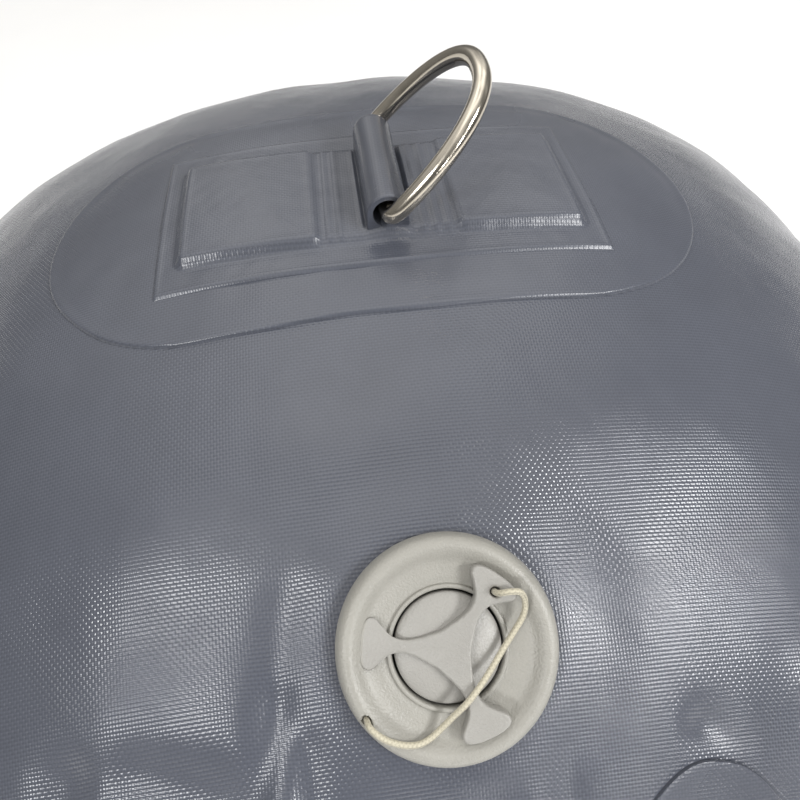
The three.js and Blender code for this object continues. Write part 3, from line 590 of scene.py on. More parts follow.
# folds on the top near the mouth: (start, end, half width, height)
FOLDS = [
    ((-42.0, -158.0), (-47.5, -178.0), 2.6, 0.9), ((-47.5, -178.0), (-54.0, -214.0), 3.2, 1.6),
    ((-38.5, -166.0), (-41.0, -190.0), 3.6, -1.3), ((-41.0, -190.0), (-46.0, -222.0), 4.5, -2.2),
    ((-39.0, -136.0), (-44.5, -158.0), 6.0, -1.1), ((-44.5, -158.0), (-55.0, -178.0), 5.5, -1.6),
    ((-84.0, -167.0), (-66.0, -174.0), 9.0, -2.8), ((68.0, -176.0), (84.0, -204.0), 6.0, -2.6),
    ((27.5, -174.0), (26.0, -206.0), 3.0, -0.8), ((-104.0, -166.0), (-122.0, -206.0), 8.0, -2.6),
    ((16.0, -186.0), (14.0, -222.0), 7.0, 1.2), ((104.0, -168.0), (118.0, -210.0), 7.0, 1.5),
    ((-6.0, -200.0), (-10.0, -236.0), 6.0, -2.0), ((48.0, -204.0), (50.0, -236.0), 7.0, -2.2),
]


def pucker_list(seed):
    """Gathers along the seam: (place along the outline, half width, depth, level where it starts)."""
    rng = np.random.default_rng(seed)
    found, at = [], 0.0
    while at < OUTLINE_LENGTH:
        found.append((at, rng.uniform(6, 13), rng.uniform(1.4, 4.2), rng.uniform(0.66, 0.86)))
        at += rng.uniform(21, 48)
    return found


PUCKERS = pucker_list(11)


def puckers(level, s, u, v):
    depth = np.zeros(np.broadcast(level, s).shape)
    corner = 1 + 0.9 * smooth((np.abs(u * v) - 0.45) / 0.45)
    for at, width, deep, start in PUCKERS:
        d = np.abs(s - at)
        d = np.minimum(d, OUTLINE_LENGTH - d)
        grow = smooth((level - start) / (0.965 - start)) * (1 - smooth((level - 0.978) / 0.022))
        spread = width * (1.5 - 0.5 * smooth((level - start) / (1 - start)))
        depth += deep * bump_at(d, spread) * grow
    return depth * corner


def fold_height(x, y):
    """Height of the folds over the smooth panel."""
    total = np.zeros_like(x)
    for (ax, ay), (bx, by), half, height in FOLDS:
        dx, dy = bx - ax, by - ay
        t = np.clip(((x - ax) * dx + (y - ay) * dy) / (dx * dx + dy * dy), 0, 1)
        d = np.hypot(x - ax - t * dx, y - ay - t * dy)
        total += height * bump_at(d, half)
    return total


def valve_polar(points):
    """Radius from the valve's axis, and height over its plane."""
    q = points - valve_at
    return np.hypot(q @ valve_across, q @ valve_along), q @ valve_up


def seat_valve(points):
    """Lays the panel flat under the valve's flange, with a shallow valley round it."""
    r, up = valve_polar(points)
    close = np.abs(up) < 40
    flat = (1 - smooth((r - 29.0) / 22.0)) * close
    shift = (-0.3 - up) * flat - 1.1 * bump_at(r - 41.0, 9.0) * close
    return points + shift[..., None] * valve_up


def free_of_fittings(points):
    """1 on open cloth, 0 under the valve's flange and the D-ring's patch."""
    r, _ = valve_polar(points)
    x, y = points[..., 0], points[..., 1]
    straight = PATCH_HALF[0] - PATCH_HALF[1]
    to_patch = np.hypot(np.maximum(0, np.abs(x) - straight), y - PATCH_CENTRE_Y) - PATCH_HALF[1]
    to_weld = np.hypot(x - WELD_PATCH[0], y - WELD_PATCH[1]) - WELD_PATCH[2]
    return smooth((r - 30) / 16) * smooth(to_patch / 22) * (0.25 + 0.75 * smooth(to_weld / 8))


EASE, LIES_FLAT = 4.0, 1.0  # heights over which the back eases onto the floor, and where it lies flat


def panel_points(levels, side, thin=0.0):
    """Rings of points of one panel: side 1 is the top, -1 the back. thin moves in from the outside."""
    level, turn = np.meshgrid(levels, TURNS, indexing="ij")
    u, v, x, y = plan_point(level, turn)
    full = fullness(u, v)
    if side > 0:
        z = SEAM_Z + RISE * full - crest_dip(x, y)
    else:
        sunk = SEAM_Z - DROP * full
        z = np.where(sunk > EASE, sunk, EASE * np.exp(np.minimum(0, sunk - EASE) / EASE))
        z = z * smooth((SEAM_Z - sunk + 200) / 200)
    points = np.stack((x, y, z), -1)
    along = np.gradient(points, axis=0)
    around = np.roll(points, -1, 1) - np.roll(points, 1, 1)
    normal = np.cross(along, around) * side
    normal /= np.maximum(1e-9, np.linalg.norm(normal, axis=-1))[..., None]
    normal[..., 2] = np.where(np.abs(normal).sum(-1) < 0.1, side, normal[..., 2])
    s = np.broadcast_to(OUTLINE_S, level.shape)
    push = -puckers(level, s, u, v)
    rough = 0.55 * wave_noise(x, y, 95, 3 + side, 2) + 0.10 * wave_noise(x + z, y - z, 26, 7 + side, 3)
    push = push + rough * smooth((level - 0.1) / 0.2) * (1 - smooth((level - 0.97) / 0.03))
    if side > 0:
        push = (push + fold_height(x, y) * smooth((0.985 - level) / 0.05)) * free_of_fittings(points)
        points = seat_valve(points + push[..., None] * normal)
    else:
        push = push * smooth((z - LIES_FLAT) / 14)
        points = points + push[..., None] * normal
    points = points - thin * normal
    rest = SEAM_Z + side * (SEAM_GAP / 2 + (SKIN - thin))
    points[..., 2] = np.maximum(points[..., 2], rest) if side > 0 else np.clip(points[..., 2], thin, rest)
    return points


NET_STEPS = 36


def net_uv(x, y):
    """Weave coordinates: lengths over the cloth from the panel's two middle lines."""
    x, y = np.asarray(x, float).ravel(), np.asarray(y, float).ravel()
    share = np.linspace(0, 1, NET_STEPS + 1)[:, None]
    along = np.hypot(np.diff(top_z(x + 0 * share, share * y), axis=0), y / NET_STEPS).sum(0)
    across = np.hypot(np.diff(top_z(share * x, y + 0 * share), axis=0), x / NET_STEPS).sum(0)
    return np.stack((np.copysign(across, x), np.copysign(along, y)), -1)


def ring_levels(count):
    """Levels from the crest to the seam, closer together near the seam."""
    return np.sin(math.pi / 2 * ((np.arange(count) + 1) / count))


def make_panel(name, side):
    """A closed skin: its outside, half of the fin's seam, and its inside."""
    outer = panel_points(ring_levels(RINGS), side)
    inner = panel_points(ring_levels(INNER_RINGS), side, SKIN)[::-1]
    fin_z = SEAM_Z + side * (SEAM_GAP / 2 + SKIN)
    fins = []
    for grow, z in ((SKIN, fin_z), (FIN, fin_z), (FIN, fin_z - side * SKIN), (SKIN, fin_z - side * SKIN)):
        _, _, x, y = plan_point(1.0, TURNS, grow)
        fins.append(np.stack((x, y, np.full_like(x, z)), -1))
    rings = np.concatenate((outer, np.array(fins), inner))
    points = np.vstack((rings.reshape(-1, 3), outer[0].mean(0), inner[-1].mean(0)))
    faces = grid_faces(len(rings), AROUND, close_columns=True)
    top, last = len(rings) * AROUND, (len(rings) - 1) * AROUND
    under = top + 1
    faces += [(top, k, (k + 1) % AROUND) for k in range(AROUND)]
    faces += [(last + k, under, last + (k + 1) % AROUND) for k in range(AROUND)]
    uv = net_uv(points[:, 0], points[:, 1])
    if side > 0:
        points, faces = open_valve_hole(points, faces)
    panel = make_mesh(name, points, faces, uv, 50, flip=side < 0)
    settle(panel, "root", fabric, "pvc_fabric", "top_panel" if side > 0 else "bottom_panel")


VALVE_HOLE = 17.6


def open_valve_hole(points, faces):
    r, up = valve_polar(points)
    inside = (r < VALVE_HOLE) & (np.abs(up) < 30)
    kept = [f for f in faces if not all(inside[i] for i in f)]
    used = np.zeros(len(points), bool)
    for f in kept:
        used[list(f)] = True
    rim = inside & used
    q = points[rim] - valve_at
    flat = q - np.outer(q @ valve_up, valve_up)
    points[rim] += flat * ((VALVE_HOLE / np.maximum(1e-6, np.linalg.norm(flat, axis=1))) - 1)[:, None]
    return points, kept


make_panel("top_skin", 1)
make_panel("back_skin", -1)


# ---- seam tape ----
def make_tape():
    inside = SEAM_GAP / 2 + SKIN + TAPE_GAP
    outside = inside + TAPE_SKIN
    start, edge = FIN - TAPE_COVER, FIN + TAPE_GAP
    lip = [(start, inside), (start - 0.2, outside - 0.35), (start + 0.35, outside)]
    turns = [math.radians(90 - 180 * i / 8) for i in range(9)]
    fold = [(edge - 1.2 + (1.2 + TAPE_SKIN) * math.cos(a), outside * math.sin(a)) for a in turns]
    section = lip + fold + [(grow, -z) for grow, z in lip[::-1]]
    section += [(edge - 0.6, -inside), (edge, -inside * 0.6), (edge, inside * 0.6), (edge - 0.6, inside)]
    rows, uv = [], []
    girth = lengths(np.array(section + section[:1]))
    wobble = 0.35 * wave_noise(OUTLINE_S, OUTLINE_S * 0, 60, 21, 3)
    for (grow, dz), g in zip(section, girth):
        _, _, x, y = plan_point(1.0, TURNS, grow)
        rows.append(np.stack((x, y, SEAM_Z + dz + wobble * 0.5), -1))
        uv.append(np.stack((OUTLINE_S, np.full(AROUND, g)), -1))
    faces = grid_faces(len(section), AROUND, close_rows=True, close_columns=True)
    tape = make_mesh("edge_tape", rows, faces, uv, 45)
    settle(tape, "root", tape_fabric, "pvc_fabric", "seam_tape")


make_tape()


# ---- rolled collar ----
def make_roll():
    """The mouth's collar, wound up from where it leaves the seam."""
    per_turn = 60
    tape_top = SEAM_Z + SEAM_GAP / 2 + SKIN + TAPE_GAP + TAPE_SKIN
    turn = np.linspace(0, ROLL_TURNS * 2 * math.pi, ROLL_TURNS * per_turn + 1)

    def wound(inset):
        shrink = ROLL_PITCH * turn / (2 * math.pi) + inset
        angle = math.pi / 2 + turn
        return np.stack((-ROLL_CENTRE + (ROLL_WIDE - shrink) * np.cos(angle),
                         SEAM_Z + (ROLL_HIGH - shrink) * np.sin(angle)), -1)

    lead = [(-COLLAR_START - back, tape_top + up) for back, up in ((0, 0.5), (9, 3.4), (18, 6.6))]
    joined = catmull([*lead, *wound(0)[::4]], 4)
    outer_lead = np.array([p for p in joined if p[0] > -ROLL_CENTRE])[:14]
    outer = np.vstack((outer_lead + (0, COLLAR_SKIN), wound(0)))
    inner = np.vstack((outer_lead, wound(COLLAR_SKIN)))
    loop = np.vstack((outer, inner[::-1]))
    count = 150
    xs = np.linspace(-COLLAR_HALF, COLLAR_HALF, count)
    s = lengths(loop)
    share = np.concatenate((np.linspace(0, 1, len(outer)), np.linspace(1, 0, len(inner))))
    outside = np.exp(-share * 6)
    rows, uv = [], []
    out = loop - (-ROLL_CENTRE, SEAM_Z)
    out = out / np.maximum(1, np.linalg.norm(out, axis=1))[:, None]
    for x in xs:
        wave = wave_noise(np.full(len(loop), x), loop[:, 0] * 0.35 + loop[:, 1], 120, 31, 3)
        dent = 0.8 * wave * outside
        place = loop - out * np.abs(dent)[:, None] * 0.9
        rows.append(np.column_stack((np.full(len(loop), x), place)))
        uv.append(np.stack((np.full(len(loop), x), s), -1))
    faces = grid_faces(count, len(loop), close_columns=True) + sheet_ends(count, len(loop), False)
    roll = make_mesh("rolled_mouth", rows, faces, uv, 60)
    settle(roll, "root", tape_fabric, "pvc_fabric", "mouth_collar")


make_roll()


# ---- D-ring patch ----
PATCH_TOP, COVER_TOP = 1.2, 2.1  # heights of the two welded sheets over the panel
EDGE_RINGS = [  # distances inside a sheet's cut edge, close together where it steps down
    0, 0.12, 0.35, 0.65, 1.0, 1.5, 2.2, 3.2, 4.6, 6.4, 8.6, 11.2, 14, 17, 20, 23.5, 27, 31, 35.5, 41, 48, 56,
]


def patch_edge(d):
    """Height of the welded sheet's edge at a distance d inside its cut."""
    return PATCH_TOP * (1 - bump_at(d, 0.4)) + 0.06 * bump_at(d - 1.9, 1.0) - 0.12 * bump_at(d - 5.0, 2.2)


def welded_sheet(name, half, centre, node):
    """A round-ended sheet welded to the panel, closed underneath."""
    straight = half[0] - half[1]
    arc = np.linspace(-math.pi / 2, math.pi / 2, 131)
    right = np.stack((straight + 0 * arc, 0 * arc, np.cos(arc), np.sin(arc)), -1)
    run = np.linspace(straight, -straight, 81)[1:-1] if straight > 0 else np.zeros(0)
    top = np.stack((run, 0 * run, 0 * run, 0 * run + 1), -1)
    side = np.vstack((right[:None if straight > 0 else -1], top))
    spine = np.vstack((side, -side))
    rings = [d for d in EDGE_RINGS if d < half[1] - 3]
    rows, uv = [], []
    for low in (False, True):
        for d in (rings[::-1] if low else rings):
            reach = half[1] - d
            wave = wave_noise(spine[:, 0] + 60 * spine[:, 2], 60 * spine[:, 3], 70, 41, 2)
            wave = 0.35 * wave * bump_at(d, 6)
            x = centre[0] + spine[:, 0] + spine[:, 2] * (reach + wave)
            y = centre[1] + spine[:, 3] * (reach + wave)
            ripple = 0.22 * wave_noise(x, y, 48, 43, 3) * smooth(d / 6)
            z = top_z(x, y) + (-0.6 if low else patch_edge(d) + ripple - (0.5 if d == 0 else 0))
            rows.append(np.stack((x, y, z), -1))
            uv.append(net_uv(x, y))
    count = len(spine)
    top_row, last = len(rings) - 1, (len(rows) - 1) * count
    faces = [f for f in grid_faces(len(rows), count, close_columns=True) if f[0] // count != top_row]
    middle = np.arange(top_row * count, (top_row + 1) * count)
    faces += [tuple(middle), tuple(middle[::-1] + count)]
    faces += [(k, (k + 1) % count, last + (k + 1) % count, last + k) for k in range(count)]
    patch = make_mesh(name, rows, faces, uv, 60)
    settle(patch, "root", patch_fabric, "pvc_fabric", node)


# the raised pads: x range, y range
PADS = [((-69.5, -20.5), (-28.5, 27.5)), ((24.5, 70.5), (-28.5, 27.5))]
# between the pads: x and height
CHANNELS = [(-17.6, 0.55), (-13.8, 0.55), (14.2, 0.5), (18.6, 0.6), (22.4, 0.5)]
# beside the loop: x, half width, depth, y range
GAPS = [(-5.2, 0.55, -1.6, (-25.0, 27.0)), (9.9, 1.15, -3.0, (-16.0, 27.5))]


def inside_box(x, y, xs, ys, r):
    """Distance inside a rounded rectangle, negative outside it."""
    qx = np.abs(x - sum(xs) / 2) - (xs[1] - xs[0]) / 2 + r
    qy = np.abs(y - sum(ys) / 2) - (ys[1] - ys[0]) / 2 + r
    return r - np.hypot(np.maximum(qx, 0), np.maximum(qy, 0)) - np.minimum(np.maximum(qx, qy), 0)


def cover_height(x, y):
    """Height of the cover sheet over the panel: flat welded border, raised pads, channels, window."""
    height = np.full_like(x, COVER_TOP)
    band = inside_box(x, y, (-69.5, 70.5), (-28.0, 27.0), 3)
    height += 2.3 * smooth((band + 1.5) / 5.0)
    for xs, ys in PADS:
        d = inside_box(x, y, xs, ys, 4)
        height += 1.25 * smooth((d + 1.0) / 3.6) + 0.22 * bump_at(d - 2.6, 1.3) + 0.35 * smooth((d - 4) / 20)
    between = smooth((band + 0.5) / 3.0)
    for at, high in CHANNELS:
        height += high * bump_at(x - at - 0.012 * y, 0.95) * between
    for at, half, deep, (y0, y1) in GAPS:
        run = smooth((y - y0) / 5) * smooth((y1 - y) / 5)
        height += (deep * bump_at(x - at, half) + 0.45 * bump_at(np.abs(x - at) - half - 0.9, 0.55)) * run
    foot = bump_at(x - RING_X, 7.5) * smooth((y + 31.5) / 8) * smooth((28 - y) / 4)
    height += 1.6 * foot * (1 - smooth((np.abs(x - RING_X) - 6.0) / 3.5))
    edge = np.minimum(COVER_HALF[0] - np.abs(x), COVER_HALF[1] - np.abs(y))
    height -= 0.95 * bump_at(edge, 0.5) - 0.2 * bump_at(edge - 1.5, 0.8)
    return height + 0.16 * wave_noise(x, y, 30, 47, 3) * smooth(edge / 5)


def make_cover():
    xs, ys = (np.concatenate(([-half], np.linspace(-half + 0.25, half - 0.25, steps), [half]))
              for half, steps in zip(COVER_HALF, (236, 122)))
    x, y = (a.ravel() for a in np.meshgrid(xs, ys, indexing="ij"))
    layers = [np.stack((x, y, top_z(x, y) + up), -1) for up in (cover_height(x, y), 0.7)]
    rows, columns = len(xs), len(ys)
    faces = grid_faces(rows, columns)
    offset = rows * columns
    faces += [tuple(i + offset for i in f[::-1]) for f in faces]
    rim = [i * columns for i in range(rows)] + [(rows - 1) * columns + k for k in range(1, columns)]
    rim += [i * columns + columns - 1 for i in range(rows - 2, -1, -1)] + list(range(columns - 2, 0, -1))
    faces += [(a, a + offset, b + offset, b) for a, b in zip(rim, rim[1:] + rim[:1])]
    cover = make_mesh("pad_cover", layers, faces, [net_uv(x, y)] * 2, 70, flip=True)
    settle(cover, "root", patch_fabric, "pvc_fabric", "cover_sheet", "webbing_left", "webbing_right")


welded_sheet("oval_patch", PATCH_HALF, (0.0, PATCH_CENTRE_Y), "base_patch")
welded_sheet("round_patch", (WELD_PATCH[2], WELD_PATCH[2]), WELD_PATCH[:2], "weld_patch")
make_cover()

RING_Z = float(top_z(RING_X, RING_Y)) + RING_HEIGHT


def make_sleeve():
    """The loop of coated webbing round the ring's bar."""
    foot = 2.6 - RING_HEIGHT
    steps = ((0.5, foot), (0.3, foot + 2.0), (0.1, -3.2), (0, -1.4))
    rise = [(-SLEEVE_OUTER - out, z) for out, z in steps]
    over = [(SLEEVE_OUTER * math.cos(a), SLEEVE_OUTER * math.sin(a)) for a in np.linspace(math.pi, 0, 15)]
    outer = catmull([*rise, *over, *[(-x, z) for x, z in rise[::-1]]], 3)
    hole = np.linspace(-math.pi / 2 - 0.1, 1.5 * math.pi + 0.1, 40)[::-1]
    inner = np.stack((SLEEVE_INNER * np.cos(hole), SLEEVE_INNER * np.sin(hole)), -1)
    loop_count = len(outer)
    inner = resample(inner, np.linspace(0, 1, len(inner)), np.linspace(0, 1, loop_count)) * (-1, 1)
    half = SLEEVE_LENGTH / 2
    ys = [-half, 0.25 - half, 0.8 - half, *np.linspace(2 - half, half - 2, 40), half - 0.8, half - 0.25, half]
    s = lengths(outer)
    rows, uv = [], []
    middle = (outer + inner[::-1]) / 2
    for y in ys:
        end = half - abs(y)
        tuck = 0.45 * np.exp(-end / 0.35)
        soft = 1 + 0.012 * wave_noise(y, 0.0, 30, 51, 2) + 0.025 * np.exp(-end / 3.0)
        out = outer * soft + (middle - outer) / np.linalg.norm(middle - outer, axis=1)[:, None] * tuck
        inn = inner + (middle[::-1] - inner) / np.linalg.norm(middle[::-1] - inner, axis=1)[:, None] * tuck
        loop = np.vstack((out, inn))
        ground = top_z(RING_X + loop[:, 0], y) - top_z(RING_X, RING_Y)
        low = smooth(-(loop[:, 1] + 3) / 5)
        z = RING_Z + loop[:, 1] + ground * low
        rows.append(np.column_stack((RING_X + loop[:, 0], np.full(len(loop), RING_Y + y), z)))
        uv.append(np.stack((np.concatenate((s, s[::-1])), np.full(2 * loop_count, y)), -1))
    across = 2 * loop_count
    faces = grid_faces(len(ys), across, close_columns=True) + sheet_ends(len(ys), across, True)
    sleeve = make_mesh("ring_loop", rows, faces, uv, 55)
    settle(sleeve, "root", patch_fabric, "pvc_fabric", "ring_sleeve")


make_sleeve()


def make_ring():
    half, power = RING_WIDTH / 2, 2 / RING_SHAPE
    turn = np.linspace(0, math.pi, 161)
    bow = np.stack((half * np.sign(np.cos(turn)) * np.abs(np.cos(turn)) ** power,
                    RING_REACH * np.sin(turn).clip(0) ** power), -1)
    bar = np.stack((np.linspace(-half, half, 42)[1:-1], np.zeros(40)), -1)
    line = np.vstack((bow, bar))
    line = relax(np.concatenate((line[-16:], line, line[:16])), 14)[16:-16]
    line = even_steps(np.vstack((line, line[:1])), 220)[:-1]
    lean = math.radians(RING_LEAN)
    up = RING_Z + line[:, 1] * math.cos(lean)
    place = np.column_stack((RING_X + line[:, 1] * math.sin(lean), RING_Y + line[:, 0], up))
    points, faces, uv = tube(place, RING_WIRE, 28, closed=True)
    ring = make_mesh("steel_ring", points, faces, uv)
    settle(ring, "ring", ring_steel, "ring_steel", "d_ring")


make_ring()


# ---- valve ----
def lathe(name, profile, steps, sides, material, body, node, closed=True, change=None):
    """A turned piece of the valve from a smooth profile of (radius, height)."""
    line = closed_catmull(profile, steps) if closed else catmull(profile, steps)
    turns = np.arange(sides) / sides * 2 * math.pi
    r, z = line[:, 0][:, None], line[:, 1][:, None]
    points = np.stack((r * np.cos(turns), r * np.sin(turns), z + 0 * turns), -1).reshape(-1, 3)
    faces = grid_faces(len(line), sides, close_rows=closed, close_columns=True)
    if not closed:
        faces += end_caps(len(line), sides)
    if change is not None:
        points = change(points)
    piece = make_mesh(name, on_valve(points), faces, None, 50, flip=True)
    settle(piece, body, material, "valve_plastic", node)


RIM_HOLE = (26.4, 221)  # the lanyard's hole in the rim: radius and angle


def polar(radius, degrees):
    return radius * math.cos(math.radians(degrees)), radius * math.sin(math.radians(degrees))


def dimple(points):
    """The small hole in the rim where the lanyard goes in."""
    x, y = polar(*RIM_HOLE)
    d = np.hypot(points[:, 0] - x, points[:, 1] - y)
    points[:, 2] -= np.where(points[:, 2] > 2.2, 2.4 * smooth((1.35 - d) / 0.5), 0)
    return points


FLANGE = [
    (16.4, 0.3), (19.0, -0.1), (23.0, -0.35), (27.0, -0.6), (28.3, -0.5), (28.8, 0.2), (28.85, 1.2),
    (28.5, 2.6), (27.9, 3.9), (26.9, 4.85), (25.7, 5.2), (24.6, 4.95), (23.5, 4.25), (22.5, 3.45),
    (21.4, 2.8), (19.6, 2.3), (17.6, 2.0), (16.4, 1.75), (15.95, 1.8), (15.8, 2.25), (15.55, 2.55),
    (15.1, 2.6), (14.75, 2.4), (14.55, 1.9), (14.5, 0.6), (14.5, -3), (14.5, -8), (14.5, -12.6),
    (14.8, -13.0), (16.0, -13.0), (16.3, -12.6), (16.3, -8), (16.3, -3),
]
CAP_DISC = [
    (0.02, 4.05), (2.5, 4.0), (5, 3.85), (8, 3.45), (10.5, 2.95), (12.3, 2.45), (13.3, 2.0), (13.8, 1.5),
    (13.9, 0.8), (13.9, -0.4), (13.6, -1.0), (12.8, -1.4), (12.6, -2.2), (12.0, -2.5), (11.6, -3.2),
    (11.6, -4.0), (12.4, -4.5), (12.6, -5.2), (12.2, -5.6), (8, -5.6), (4, -5.6), (0.02, -5.6),
]
HANDLE_HALF = [  # one side of an arm, from the notch beside it to its tip
    (2.65, -4.6), (5.3, -3.45), (7.6, -2.5), (10.2, -1.75), (12.6, -1.65), (15, -2.4), (17.2, -4.3),
    (19, -6.1), (20.6, -6.3), (21.7, -5.1), (22.3, -2.6), (22.4, 0),
]
HANDLE_THIRD = HANDLE_HALF + [(x, -y) for x, y in HANDLE_HALF[-2:0:-1]]
HANDLE_ARMS = (58.5, 178.5, 298.5)
HANDLE_LOW, HANDLE_SLOPE, HANDLE_MIDDLE, HANDLE_THICK = 2.72, 0.135, 5.95, 3.2
LOBE_HOLE, LOBE_HOLE_R = (18.4, 54), 1.3  # the lanyard's hole in a lobe: radius and angle, and its size


def handle_top(x):
    return HANDLE_MIDDLE + HANDLE_SLOPE * x


def make_cap():
    points = []
    for arm in HANDLE_ARMS:
        c, s = math.cos(math.radians(arm)), math.sin(math.radians(arm))
        points += [(x * c - y * s, x * s + y * c) for x, y in HANDLE_THIRD]
    outline = closed_catmull(points, 5)
    hx, hy = polar(*LOBE_HOLE)
    turns = np.linspace(0, 2 * math.pi, 25)[:-1]
    hole = [(hx + LOBE_HOLE_R * math.cos(a), hy + LOBE_HOLE_R * math.sin(a)) for a in turns]
    height = HANDLE_THICK
    v, faces = slab("handle", [outline, hole], 0, height, 0.75, 4)
    share = v[:, 2] / height
    above = handle_top(v[:, 0]) - HANDLE_LOW
    crown = 0.25 * bump_at(np.hypot(v[:, 0], v[:, 1]), 9.0)
    lift = np.where(share > 0.5, above - height + v[:, 2] + crown, v[:, 2])
    lift = np.where(lift < v[:, 2] * above / height, v[:, 2] * above / height, lift)
    v = np.column_stack((v[:, :2], HANDLE_LOW + lift))
    handle = make_mesh("cap_handle", on_valve(v), faces, None, 32)
    settle(handle, "cap", lobe_plastic, "valve_plastic", "cap")
    lathe("cap_disc", CAP_DISC, 4, 128, lobe_plastic, "cap", "cap", closed=False)


lathe("valve_flange", FLANGE, 6, 260, valve_plastic, "root", "valve_body", change=dimple)
make_cap()


# ---- CAD solids whose own shape is right: rounded edges and a finish ----
def finish_node(name, material, width=0.0):
    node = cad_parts[name]
    node.data.materials.clear()
    node.data.materials.append(material)
    node.data.shade_smooth()
    node.data.set_sharp_from_angle(angle=math.radians(28))
    if width:
        bevel = node.modifiers.new("rounded", "BEVEL")
        bevel.width = width * MM
        bevel.segments = 3
        bevel.limit_method = "ANGLE"
        bevel.angle_limit = math.radians(40)
        bevel.harden_normals = True


for node_name in ("valve_nut", "valve_seat", "plunger"):
    finish_node(node_name, valve_plastic, 0.25)
for node_name in ("valve_gasket", "plunger_seal", "cap_seal"):
    finish_node(node_name, seal_rubber, 0.15)
for node_name in ("stiffener_upper", "stiffener_lower"):
    finish_node(node_name, buckle_plastic, 0.4)


# ---- side straps and buckles ----
FIN_SIDE = float(plan_point(1.0, 0.0, FIN + TAPE_GAP + TAPE_SKIN)[2])
BUCKLE_X, BUCKLE_MOUTH = FIN_SIDE + 9.4, -184.0
FEMALE_BAR, MALE_BAR, BAR_HALF = 31, -10.5, 1.9  # the bars' places from the mouth, and half their gap
STITCH_STEP, STITCH_R = 3.4, 0.42


def soften(route, step=1.2):
    """A route of straight runs, sampled evenly and rounded at its corners."""
    route = np.asarray(route, float)
    return relax(even_steps(route, int(lengths(route)[-1] / step)), 6)


def ribbon_mesh(name, route, side, seed):
    """A flat strap standing on edge along a route in (x, y)."""
    line = soften(route)
    along = np.gradient(line, axis=0)
    along /= np.linalg.norm(along, axis=1)[:, None]
    out = np.stack((along[:, 1], -along[:, 0]), -1)
    half, rim = STRAP_WIDE / 2, STRAP_THICK / 2
    flat = np.linspace(-half + rim, half - rim, 9)
    arc = np.linspace(math.pi / 2, -math.pi / 2, 5)[1:-1]
    section = [(rim, z) for z in flat] + [(rim * math.sin(a), half - rim + rim * math.cos(a)) for a in arc]
    section = np.array(section)
    section = np.vstack((section, -section))
    s = lengths(line)
    cup = 0.25 * wave_noise(s, 0 * s, 40, seed, 2)
    rows, uv = [], []
    for i, (x, y) in enumerate(line):
        bow = cup[i] * (1 - (section[:, 1] / half) ** 2)
        push = section[:, 0] + bow * 0.6
        across = side * (x + out[i, 0] * push)
        rows.append(np.column_stack((across, y + out[i, 1] * push, SEAM_Z + section[:, 1])))
        uv.append(np.stack((section[:, 1] + half, np.full(len(section), s[i])), -1))
    count = len(section)
    faces = grid_faces(len(line), count, close_columns=True) + end_caps(len(line), count)
    return make_mesh(name, rows, faces, uv, 60, flip=side > 0)


def stitch_rows(name, lines, side):
    """Rows of thread stitches, each a short rounded bar half sunk in the cloth, from (start, end) lines."""
    points, faces = [], []
    for start, end in lines:
        start, end = np.array(start, float), np.array(end, float)
        count = max(1, int(np.linalg.norm(end - start) / STITCH_STEP))
        step = (end - start) / count
        for i in range(count):
            a, b = start + step * (i + 0.14), start + step * (i + 0.86)
            line = a + (b - a) * np.linspace(0, 1, 7)[:, None]
            squeeze = np.sqrt(np.clip(1 - np.linspace(-0.97, 0.97, 7) ** 2, 0.05, 1))
            bar, sides, _ = tube(line, STITCH_R, 8, squeeze=squeeze)
            faces += [tuple(k + len(bar) * len(points) for k in face) for face in sides]
            points.append(bar)
    points = np.vstack(points) * (side, 1, 1)
    piece = make_mesh(name, points, faces, np.zeros((len(points), 2)), flip=side < 0)
    settle(piece, "root", stitch_thread, "webbing")


def box_stitch(x, y0, y1, half):
    """A sewn rectangle with its two diagonals, on a strap's outer face."""
    a, b, c, d = ((x, y, SEAM_Z + z) for y, z in ((y0, -half), (y1, -half), (y1, half), (y0, half)))
    return [(a, b), (b, c), (c, d), (d, a), (a, c), (b, d)]


